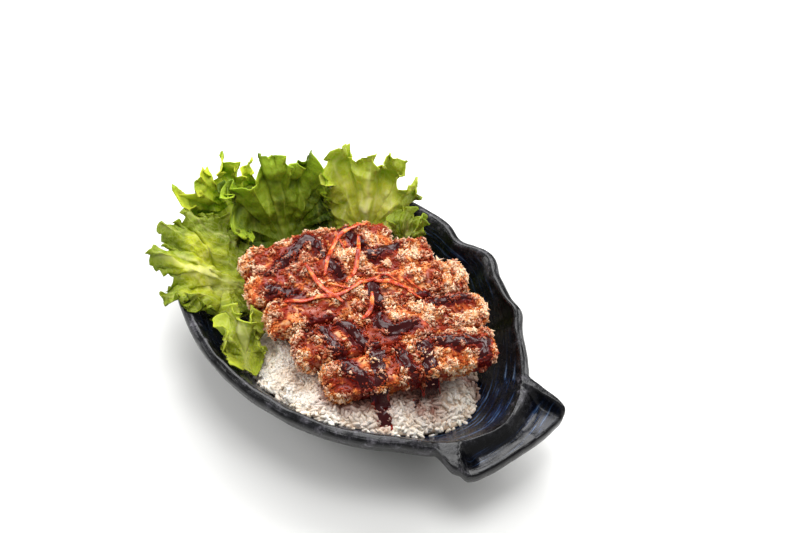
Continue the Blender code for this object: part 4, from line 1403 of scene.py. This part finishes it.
print("frills at the tip's edge stand", round(sum(row[1] for row in FRILLS), 4), "m at most")


# %% Veins
def vein_strength(u, v, across, wander):
    """1 on the rib, less on the veins and twigs that spread from it, 0 between them."""
    rib = math.exp(-((across / MM) / mix(*RIB_WIDTH_MM, v)) ** 2)
    rays = abs(((u * VEINS_ACROSS + 0.35 * wander) % 1.0) - 0.5) * 2.0
    twigs = abs(((v * TWIGS_ALONG - abs(rays - 0.5) * 2.4 + 0.9 * wander) % 1.0) - 0.5) * 2.0
    vein = VEIN_PALENESS * math.exp(-((rays / mix(0.20, 0.07, v)) ** 2))
    twig = TWIG_PALENESS * math.exp(-((twigs / 0.2) ** 2))
    return max(rib, max(vein, twig) * step(v / 0.35))


print("paleness on the rib:", vein_strength(0.0, 0.5, 0.0, 0.0))


# %% Frilled sheet
def frilled(leaf, u, v, half_width, seed):
    """A point of the frilled leaf, its nearness to the margin, its veins, its painted fold shade and its
    height.
    """
    size = leaf.length * MM
    point, normal, forward_way, aside, forward, across = leaf_place(leaf, u, v)
    to_tip = (1.0 - v) * leaf.length * MM
    to_side = (1.0 - abs(u)) * half_width * mix(0.35, 1.0, v) + (1.0 - v) * 6.0 * MM
    edge = (to_tip ** -3 + to_side ** -3) ** (-1.0 / 3.0) if min(to_tip, to_side) > 0.0 else 0.0
    inner = forward - FRILL_MIDDLE * size
    along = math.atan2(across, inner) * FRILL_ARC * size
    outward = (forward_way * inner + aside * across).normalized()
    around = (aside * inner - forward_way * across).normalized()
    calm = step(math.hypot(inner, across) / (FRILL_CALM * size))
    flat = Vector((forward, across, 40.0 * MM * seed))
    fold_shade = 0.0
    for number, (pitch, height, band, shade) in enumerate(FRILLS):
        wander = noise.noise(Vector((along / (1.9 * pitch), seed * 3.7 + number, 0.4)))
        vary = 0.8 + 1.1 * noise.noise(flat / (1.4 * pitch))
        depth = height * math.exp(-edge / band) * max(0.15, vary) * calm
        turn = 2.0 * math.pi * along / pitch + FRILL_WANDER * wander + seed + number
        sideways = around * depth * FRILL_SIDEWAYS * math.sin(2.0 * turn + 0.7)
        point = point + normal * depth * math.sin(turn) + sideways
        point = point + outward * depth * FRILL_OUTWARD * math.cos(turn + 0.9)
        fold_shade -= depth / height * math.sin(turn) * shade
    for pitch, height in CRUMPLES:
        rise = noise.noise(flat / pitch) * min(1.0, v * 2.0)
        point = point + normal * rise * height * CRUMPLE_RISE
        fold_shade -= rise * CRUMPLE_SHADE
    margin = math.exp(-edge / MARGIN_FADE)
    lobe = LOBE_DEPTH * noise.noise(Vector((along / LOBE_PITCH, seed * 2.1, 8.0)))
    tooth = TOOTH_DEPTH * noise.noise(Vector((along / TOOTH_PITCH, seed * 1.3, 3.0)))
    corner = step((abs(u) - 0.7) / 0.3) * step((v - 0.6) / 0.4)
    ragged = ((lobe + tooth) * MM + LEAF_GROWTH) * margin
    point = point + outward * (ragged - LEAF_CORNER * leaf.length * MM * corner)
    veins = vein_strength(u, v, across, noise.noise(flat / (20.0 * MM)))
    return point, math.exp(-edge / YOUNG_FADE), veins * (1.0 - margin), fold_shade, v


print("tip of the frilled left leaf:", frilled(LEAVES[0], 0.0, 1.0, 60.0 * MM, 0)[0])

# %% [markdown]
# The frilled sheet is lifted clear of the dish and the rice, as a leaf drapes over what it meets, and
# then made into a closed shell half a millimetre thick, because a sheet without thickness would show
# no edge and no light through it.

# %% Leaf mesh
LEAF_THICKNESS = 0.5 * MM
LEAF_CLEARANCE = 0.72 * MM
# A point stays above what lies this far round it in plan, in millimetres
FEELERS = ((0, 0), (2.5, 0), (-2.5, 0), (0, 2.5), (0, -2.5))


def thicken(sheet, thickness, offset):
    """Turns a sheet into a closed shell; offset 0 is both ways, -1 is behind its face."""
    shell = sheet.modifiers.new("thickness", "SOLIDIFY")
    shell.thickness = thickness
    shell.offset = offset
    bpy.context.view_layer.update()
    seen = sheet.evaluated_get(bpy.context.evaluated_depsgraph_get())
    closed = bpy.data.meshes.new_from_object(seen)
    sheet.modifiers.clear()
    sheet.data = closed


def build_leaf(material, leaf, under, seed):
    """A frilled sheet with stored values for its finish."""
    half_width = (leaf.foot_radius + leaf.length) * math.sin(math.radians(leaf.spread)) * MM
    columns = max(100, int(half_width / MM * 3.5))
    rows = max(56, int(leaf.length * 1.25))
    found = []
    for j in range(rows):
        v = (j / (rows - 1)) ** 0.85
        for i in range(columns):
            found.append(frilled(leaf, 2.0 * i / (columns - 1) - 1.0, v, half_width, seed))
    lifted = []
    for point, *_ in found:
        floor = 0.0
        for dx, dy in FEELERS:
            hit = top_at(under, point.x + dx * MM, point.y + dy * MM)[0]
            floor = max(floor, 0.0 if hit is None else hit.z)
        lifted.append((point.x, point.y, max(point.z, floor + LEAF_CLEARANCE)))
    sheet = make_mesh(leaf.name + "_leaf", lifted, grid_faces(rows, columns), material)
    for number, name in enumerate(("margin", "veins", "fold_shade", "rise"), 1):
        set_attribute(sheet, name, [row[number] for row in found])
    thicken(sheet, LEAF_THICKNESS, 0.0)
    return sheet


print("leaves:", [leaf.name for leaf in LEAVES])

# %% [markdown]
# A fresh leaf is a thin moist blade that lets light through, under a faint waxy gloss. It is a yellow
# green at its young margin and fades to almost white along the veins. Fine veins make a net of
# shallow cells between the large ones. Painted shade darkens the folds and the foot, and a painted
# highlight lightens the top. The leaves stand in different light, so the four finishes are lit and
# shaded copies of one green, with painted light and painted shade in their greens.

# %% Leaf finish
LEAF_PATCH = 16.67 * MM
LEAF_CELL = 3.333 * MM
LEAF_CRINKLE = 3.846 * MM


def make_leaf_finish(name, deep, fresh, pale, tip, whiteness, sunned, shaded):
    """A green blade: whiteness widens its pale part, sunned paints light on top, shaded paints foot shade.
    """
    material, tree, shader = new_finish(name, {
        "Roughness": 0.48, "IOR": 1.30, "Subsurface Weight": 0.30, "Subsurface Scale": 1.6 * MM,
        "Subsurface Radius": (0.7, 1.0, 0.05)})
    margin, veins, fold_shade, rise = [add_node(tree, "ShaderNodeAttribute", {"attribute_name": stored})
                                 for stored in ("margin", "veins", "fold_shade", "rise")]
    at_place = {"Vector": (add_node(tree, "ShaderNodeNewGeometry"), "Position")}
    patch = add_node(tree, "ShaderNodeTexNoise", links=at_place,
                     values={"Scale": 1.0 / LEAF_PATCH, "Detail": 5.0, "Roughness": 0.6})
    youth = add_node(tree, "ShaderNodeMath", {"operation": "MULTIPLY_ADD"}, {1: 0.9},
                     {0: (patch, "Fac"), 2: (margin, "Fac")})
    blade = add_node(tree, "ShaderNodeValToRGB", links={"Fac": (youth, "Value")},
                     stops=((0.34 + whiteness, pale), (0.58 + whiteness, fresh), (1.0, deep), (1.45, deep)))
    cells = add_node(tree, "ShaderNodeTexVoronoi", {"feature": "DISTANCE_TO_EDGE"},
                     {"Scale": 1.0 / LEAF_CELL}, at_place)
    net = add_node(tree, "ShaderNodeMapRange", values={"From Max": 0.12, "To Min": 0.30, "To Max": 0.0},
                   links={"Value": (cells, "Distance")})
    lines = add_node(tree, "ShaderNodeMath", {"operation": "MAXIMUM"},
                     links={0: (veins, "Fac"), 1: (net, "Result")})
    strength = add_node(tree, "ShaderNodeMath", {"operation": "MULTIPLY"}, {1: 0.5}, {0: (lines, "Value")})
    # Painted shade in the folds, painted light on the top and painted shade at the foot
    shaded_folds = add_node(tree, "ShaderNodeMapRange", links={"Value": (fold_shade, "Fac")},
                      values={"From Min": 0.10, "From Max": 1.1, "To Max": 0.75})
    high = add_node(tree, "ShaderNodeMapRange", links={"Value": (rise, "Fac")},
                    values={"From Min": 0.6, "To Max": sunned})
    low = add_node(tree, "ShaderNodeMapRange", links={"Value": (rise, "Fac")},
                   values={"From Max": 0.65, "To Min": shaded, "To Max": 0.0})
    colour = (blade, "Color")
    for share, tint in (((strength, "Value"), pale), ((high, "Result"), tip), ((shaded_folds, "Result"), deep),
                        ((low, "Result"), deep)):
        tinted = add_node(tree, "ShaderNodeMix", {"data_type": "RGBA"}, {"B": linear(tint)},
                          {"Factor": share, "A": colour})
        colour = (tinted, "Result")
    veined = add_node(tree, "ShaderNodeBump", values={"Strength": 0.6, "Distance": 0.6 * MM},
                      links={"Height": (lines, "Value")})
    crinkle = add_node(tree, "ShaderNodeTexNoise", links=at_place,
                       values={"Scale": 1.0 / LEAF_CRINKLE, "Detail": 4.0})
    crinkled = add_node(tree, "ShaderNodeBump", values={"Strength": 0.7, "Distance": 1.4 * MM},
                        links={"Height": (crinkle, "Fac"), "Normal": (veined, "Normal")})
    connect(tree, shader, {"Base Color": colour, "Normal": (crinkled, "Normal")})
    return material


# Four lit and shaded copies of one green: their colours hold painted light and painted shade
fresh_greens = ("#6c7e04", "#aab00c", "#e4e098", "#a8b420")
shaded_greens = ("#2e4600", "#80940a", "#b6be50", "#a4bc2c")
middle_greens = ("#7c9604", "#bcce10", "#dee478", "#c8d038")
sunlit_greens = ("#a4b02a", "#e2e656", "#faf6c0", "#c6d03e")
leaf_fresh = make_leaf_finish("green_leaf_fresh", *fresh_greens, 0.07, 0.2, 0.75)
leaf_shade = make_leaf_finish("green_leaf_shaded", *shaded_greens, -0.04, 0.9, 0.75)
leaf_middle = make_leaf_finish("green_leaf_middle", *middle_greens, 0.02, 0.85, 0.3)
leaf_sunlit = make_leaf_finish("green_leaf_sunlit", *sunlit_greens, 0.10, 0.2, 0.85)
print("leaf finishes:", leaf_fresh.name, leaf_shade.name, leaf_middle.name, leaf_sunlit.name)

# %% The six leaves
leaf_under = tree_of([dish, rice_core, rice_grains])
leaf_finishes = (leaf_fresh, leaf_middle, leaf_shade, leaf_sunlit, leaf_fresh, leaf_sunlit)
leaf_pieces = []
for seed, (leaf, finish) in enumerate(zip(LEAVES, leaf_finishes)):
    piece = build_leaf(finish, leaf, leaf_under, seed)
    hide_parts(leaf.name)
    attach(piece, "root")
    leaf_pieces.append(piece)
print("leaf faces:", [len(p.data.polygons) for p in leaf_pieces])

# %% [markdown]
# ## The sauce
# Thick brown sauce was drizzled to and fro. It pools on the crust and runs down between crumbs, so
# its skin is smoother than what it covers, and it shines. A fluid simulation would take minutes and
# land where it likes. Instead it is a sheet draped over the strips and crumbs: the height under it is
# read on a fine grid, smoothed as a thick liquid would be, and raised where sauce was poured. Only the
# cells that it covers are kept, and a thickness closes them.

# %% Sauce finish
SAUCE_PATCH = 7.692 * MM
SAUCE_RED = "#8e1c0c"


def make_sauce_finish():
    """Thick brown sauce: nearly black where deep, red-brown at its thin edge, and wet."""
    material, tree, shader = new_finish("tonkatsu_sauce", {"IOR": 1.38})
    place = add_node(tree, "ShaderNodeNewGeometry")
    depth = add_node(tree, "ShaderNodeAttribute", {"attribute_name": "depth"})
    patch = add_node(tree, "ShaderNodeTexNoise", values={"Scale": 1.0 / SAUCE_PATCH, "Detail": 4.0},
                     links={"Vector": (place, "Position")})
    mixed = add_node(tree, "ShaderNodeMath", {"operation": "MULTIPLY_ADD"}, {1: 0.9},
                     {0: (patch, "Fac"), 2: (depth, "Fac")})
    colour = add_node(tree, "ShaderNodeValToRGB", links={"Fac": (mixed, "Value")},
                      stops=((0.55, SAUCE_THIN), (0.95, SAUCE_RED), (1.30, SAUCE_MIDDLE),
                             (1.60, SAUCE_DARK)))
    rough = add_node(tree, "ShaderNodeMapRange", links={"Value": (patch, "Fac")},
                     values={"From Min": 0.3, "From Max": 0.7, "To Min": 0.28, "To Max": 0.12})
    bump = add_node(tree, "ShaderNodeBump", values={"Strength": 0.2, "Distance": 0.6 * MM},
                    links={"Height": (patch, "Fac")})
    connect(tree, shader, {"Base Color": (colour, "Color"), "Roughness": (rough, "Result"),
                           "Normal": (bump, "Normal")})
    return material


sauce_finish = make_sauce_finish()
print("finish:", sauce_finish.name)

# %% Where sauce lies
SAUCE_PITCH = 0.6 * MM
SAUCE_DEPTH = 1.6 * MM
SAUCE_XS = np.arange(-60.0 * MM, 100.0 * MM, SAUCE_PITCH)
SAUCE_YS = np.arange(-72.0 * MM, 62.0 * MM, SAUCE_PITCH)
RUN_WIDENING_MM = 1.2
COVER_EDGE_MM, COVER_FADE_MM = 4.6, 3.0
READ_WITHIN_MM = 8.0
POOL_SIZE, TONGUE_SIZE, DRIP_SIZE = 13.0 * MM, 6.0 * MM, 2.4 * MM
TONGUE_MM, DRIP_MM = 2.3, 1.3
BARE_HEIGHT = 0.03
LEAST_COVER = 0.12
STEEPEST = 2.6
RUN_REACH_MM = 6.0


def blur(field, rounds):
    """Evens out a grid by averaging each cell with its neighbours."""
    for _ in range(rounds):
        padded = np.pad(field, 1, mode="edge")
        beside = padded[:-2, 1:-1] + padded[2:, 1:-1] + padded[1:-1, :-2] + padded[1:-1, 2:]
        field = (beside + 2 * field) / 6.0
    return field


def sauce_cover():
    """On the grid: sauce cover from 0 to 1, distance from a line, and from a run, in millimetres."""
    grid = np.array([(x, y, 0.0) for y in SAUCE_YS for x in SAUCE_XS])
    far = distance_to_routes(grid[:, :2], SAUCE_LINES) / MM
    run = distance_to_routes(grid[:, :2], RUNS_ON_RICE) / MM - RUN_WIDENING_MM
    far = np.minimum(far, run)
    far *= 1.0 + 0.55 * relief(grid, POOL_SIZE, 65)
    far += TONGUE_MM * relief(grid, TONGUE_SIZE, 61) + DRIP_MM * relief(grid, DRIP_SIZE, 63)
    shape = (len(SAUCE_YS), len(SAUCE_XS))
    cover = smoothstep((COVER_EDGE_MM - far) / COVER_FADE_MM)
    return cover.reshape(shape), far.reshape(shape), run.reshape(shape)


print("sauce grid:", len(SAUCE_XS), "by", len(SAUCE_YS))


# %% The skin's height
def sauce_surface(cover, far, tree):
    """The height of the sauce's skin on the grid, smoothest where what it covers is steep."""
    height = np.full(cover.shape, BARE_HEIGHT)
    for r, y in enumerate(SAUCE_YS):
        for c, x in enumerate(SAUCE_XS):
            if far[r, c] < READ_WITHIN_MM:
                hit = top_at(tree, x, y)[0]
                height[r, c] = hit.z if hit is not None else BARE_HEIGHT
    even = blur(height, 12)
    steep = smoothstep((np.abs(blur(height, 2) - height) - 0.4 * MM) / (1.2 * MM))
    return mix(height, even, np.minimum(1.0, 0.8 + blur(steep, 4))) + SAUCE_DEPTH * (cover - 0.55)


print("the skin stands at most", round(0.45 * SAUCE_DEPTH, 5), "m over the crust")

# %% Sauce sheet
SKIN_THICKNESS = 1.2 * MM
LEAST_SAUCE_HEIGHT = 41.0 * MM


def build_sauce(material, tree):
    """The covered cells of the grid as a closed sheet, with its cover stored."""
    cover, far, run = sauce_cover()
    surface = sauce_surface(cover, far, tree)
    slope = np.hypot(*np.gradient(surface, SAUCE_PITCH))
    keep = (cover > LEAST_COVER) & ((slope < STEEPEST) | (run < RUN_REACH_MM))
    index = -np.ones(cover.shape, int)
    points, faces, depths = [], [], []
    for r in range(len(SAUCE_YS) - 1):
        for c in range(len(SAUCE_XS) - 1):
            corners = ((r, c), (r, c + 1), (r + 1, c + 1), (r + 1, c))
            if not all(keep[k] and surface[k] > LEAST_SAUCE_HEIGHT for k in corners):
                continue
            for k in corners:
                if index[k] < 0:
                    index[k] = len(points)
                    points.append((SAUCE_XS[k[1]], SAUCE_YS[k[0]], surface[k]))
                    depths.append(cover[k])
            faces.append([index[k] for k in corners])
    sheet = make_mesh("sauce", np.array(points), faces, material)
    set_attribute(sheet, "depth", depths)
    thicken(sheet, SKIN_THICKNESS, -1.0)
    return sheet


sauce = build_sauce(sauce_finish, tree_of(strips + all_crumbs + [rice_core, rice_grains]))
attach(sauce, "root")
print("sauce faces:", len(sauce.data.polygons))

# %% [markdown]
# ## Carrot shreds
# A grater leaves long flat strips with a fine taper at each end. Moist from the sauce, they lie where
# they fell, bending over whatever is under them. Each is a loft along a smooth route, whose height is
# read from the crumbs below.

# %% Carrot finish
CARROT_GRAIN = 4.167 * MM


def make_carrot_finish():
    """Grated raw carrot: orange, finely streaked, and glossy with its own juice."""
    material, tree, shader = new_finish("carrot_grated", {
        "Roughness": 0.26, "IOR": 1.42, "Subsurface Weight": 0.3, "Subsurface Scale": 2.0 * MM,
        "Subsurface Radius": (1.0, 0.35, 0.1)})
    place = add_node(tree, "ShaderNodeNewGeometry")
    grain = add_node(tree, "ShaderNodeTexNoise", values={"Scale": 1.0 / CARROT_GRAIN, "Detail": 3.0},
                     links={"Vector": (place, "Position")})
    colour = add_node(tree, "ShaderNodeValToRGB", links={"Fac": (grain, "Fac")},
                      stops=((0.36, "#8a1c06"), (0.50, "#bc3a0c"), (0.64, "#ea8a46")))
    bump = add_node(tree, "ShaderNodeBump", values={"Strength": 0.4, "Distance": 0.3 * MM},
                    links={"Height": (grain, "Fac")})
    connect(tree, shader, {"Base Color": (colour, "Color"), "Normal": (bump, "Normal")})
    return material


carrot_finish = make_carrot_finish()
print("finish:", carrot_finish.name)

# %% Sizes and routes of the shreds
SHRED_WIDTH = 2.9 * MM
SHRED_THICKNESS = 1.0 * MM
THREAD_WIDTH = 1.4 * MM
THREAD_THICKNESS = THREAD_WIDTH * 0.6
SHRED_SIDES = 8
STEPS_PER_POINT = 8
CORNER_SOFTNESS = 0.6

# Routes in plan, in millimetres; the shreds are the solids', the threads lie only in this scene
SHREDS = (
    ((-22, 38), (-27, 26), (-26, 14), (-19, 2), (-11, -9)),
    ((-20, 28), (-9, 17), (-1, 6), (3, -5)),
    ((-24, -12), (-11, -15), (1, -16), (11, -15)),
    ((-14, -38), (-7, -31), (-2, -22), (6, -13), (9, 1), (14, 13)),
    ((12, 8), (22, 15), (33, 20)),
    ((17, 2), (24, -6), (27, -16)),
)
THREADS = (
    ((10, 1), (11, 8), (15, 15), (22, 18)),
    ((24, 22), (31, 23), (37, 24)),
    ((27, 18), (33, 18), (40, 20)),
    ((-6, -12), (0, -9), (8, -6)),
    ((-30, 18), (-24, 17), (-17, 14)),
)
print("shreds and threads:", len(SHREDS), len(THREADS))


# %% A strip that bends over what is under it
def rounded(value):
    """A sine or cosine pushed outwards, which makes a circle into a rounded square."""
    return math.copysign(abs(value) ** CORNER_SOFTNESS, value)


def running_mean(values, reach):
    """Each value averaged with those within reach of it."""
    count = 2 * reach + 1
    return np.convolve(np.pad(values, reach, mode="edge"), np.ones(count) / float(count), "valid")


def lying_heights(places, tree):
    """How high a strip lies at each place: on the highest of what is around, evened out."""
    heights = []
    for x, y in places:
        around = [top_at(tree, x + dx * MM, y + dy * MM)[0] for dx in (-1, 0, 1) for dy in (-1, 0, 1)]
        heights.append(max(hit.z for hit in around if hit is not None))
    heights = running_mean(heights, 1)
    return np.maximum(heights, running_mean(heights, 4))


def build_shred(material, name, route, tree, width, thickness):
    """A flat tapering strip that bends over what lies under it."""
    places = smooth_curve([Vector(p) * MM for p in route], STEPS_PER_POINT)
    heights = lying_heights(places, tree)
    count = len(places)
    rings = []
    for i, (x, y) in enumerate(places):
        before, after = places[max(0, i - 1)], places[min(count - 1, i + 1)]
        along = Vector((after[0] - before[0], after[1] - before[1], 0.0)).normalized()
        taper = 0.25 + 0.75 * math.sin(math.pi * (i + 0.5) / count) ** 0.5
        across = Vector((-along.y, along.x, 0.25 * math.sin(i * 0.4))) * width * 0.5 * taper
        middle = Vector((x, y, heights[i] + thickness * 0.5))
        ring = []
        for a in range(SHRED_SIDES):
            turn = 2.0 * math.pi * a / SHRED_SIDES + math.pi / SHRED_SIDES
            lift = Vector((0.0, 0.0, rounded(math.sin(turn)) * thickness * 0.5 * taper))
            ring.append(middle + across * rounded(math.cos(turn)) + lift)
        rings.append(ring)
    rings = np.array(rings)
    return loft(name, rings, [rings[0].mean(0), rings[-1].mean(0)], material)


print("a rounded cosine of 0.5:", round(rounded(0.5), 3))

# %% Shreds and threads
carrot_pieces = []
lying_on = tree_of(strips + all_crumbs)
for number, route in enumerate(SHREDS, 1):
    name = f"carrot_shred_{number}_strip"
    shred = build_shred(carrot_finish, name, route, lying_on, SHRED_WIDTH, SHRED_THICKNESS)
    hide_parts(f"carrot_shred_{number}")
    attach(shred, "root")
    carrot_pieces.append(shred)
for number, route in enumerate(THREADS, 1):
    name = f"carrot_thread_{number}"
    thread = build_shred(carrot_finish, name, route, lying_on, THREAD_WIDTH, THREAD_THICKNESS)
    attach(thread, "root")
    carrot_pieces.append(thread)
print("carrot faces:", sum(len(piece.data.polygons) for piece in carrot_pieces))

# %% [markdown]
# ## The floor
# The photograph has a plain white ground. A wide sheet of matt off-white studio paper stands for it,
# just under the dish's foot.

# %% Floor
FLOOR_HALF = 3.0
FLOOR_DROP = 0.2 * MM
floor_values = {"Roughness": 0.8, "Base Color": linear("#f4f4f2")}
floor_finish, *_ = new_finish("pale_studio_sheet", floor_values)
floor_corners = [(x * FLOOR_HALF, y * FLOOR_HALF, 0.0) for x, y in ((-1, -1), (1, -1), (1, 1), (-1, 1))]
floor = make_mesh("floor", floor_corners, [(0, 1, 2, 3)], floor_finish)
floor.location.z = -FLOOR_DROP
print("floor:", 2.0 * FLOOR_HALF, "m square")
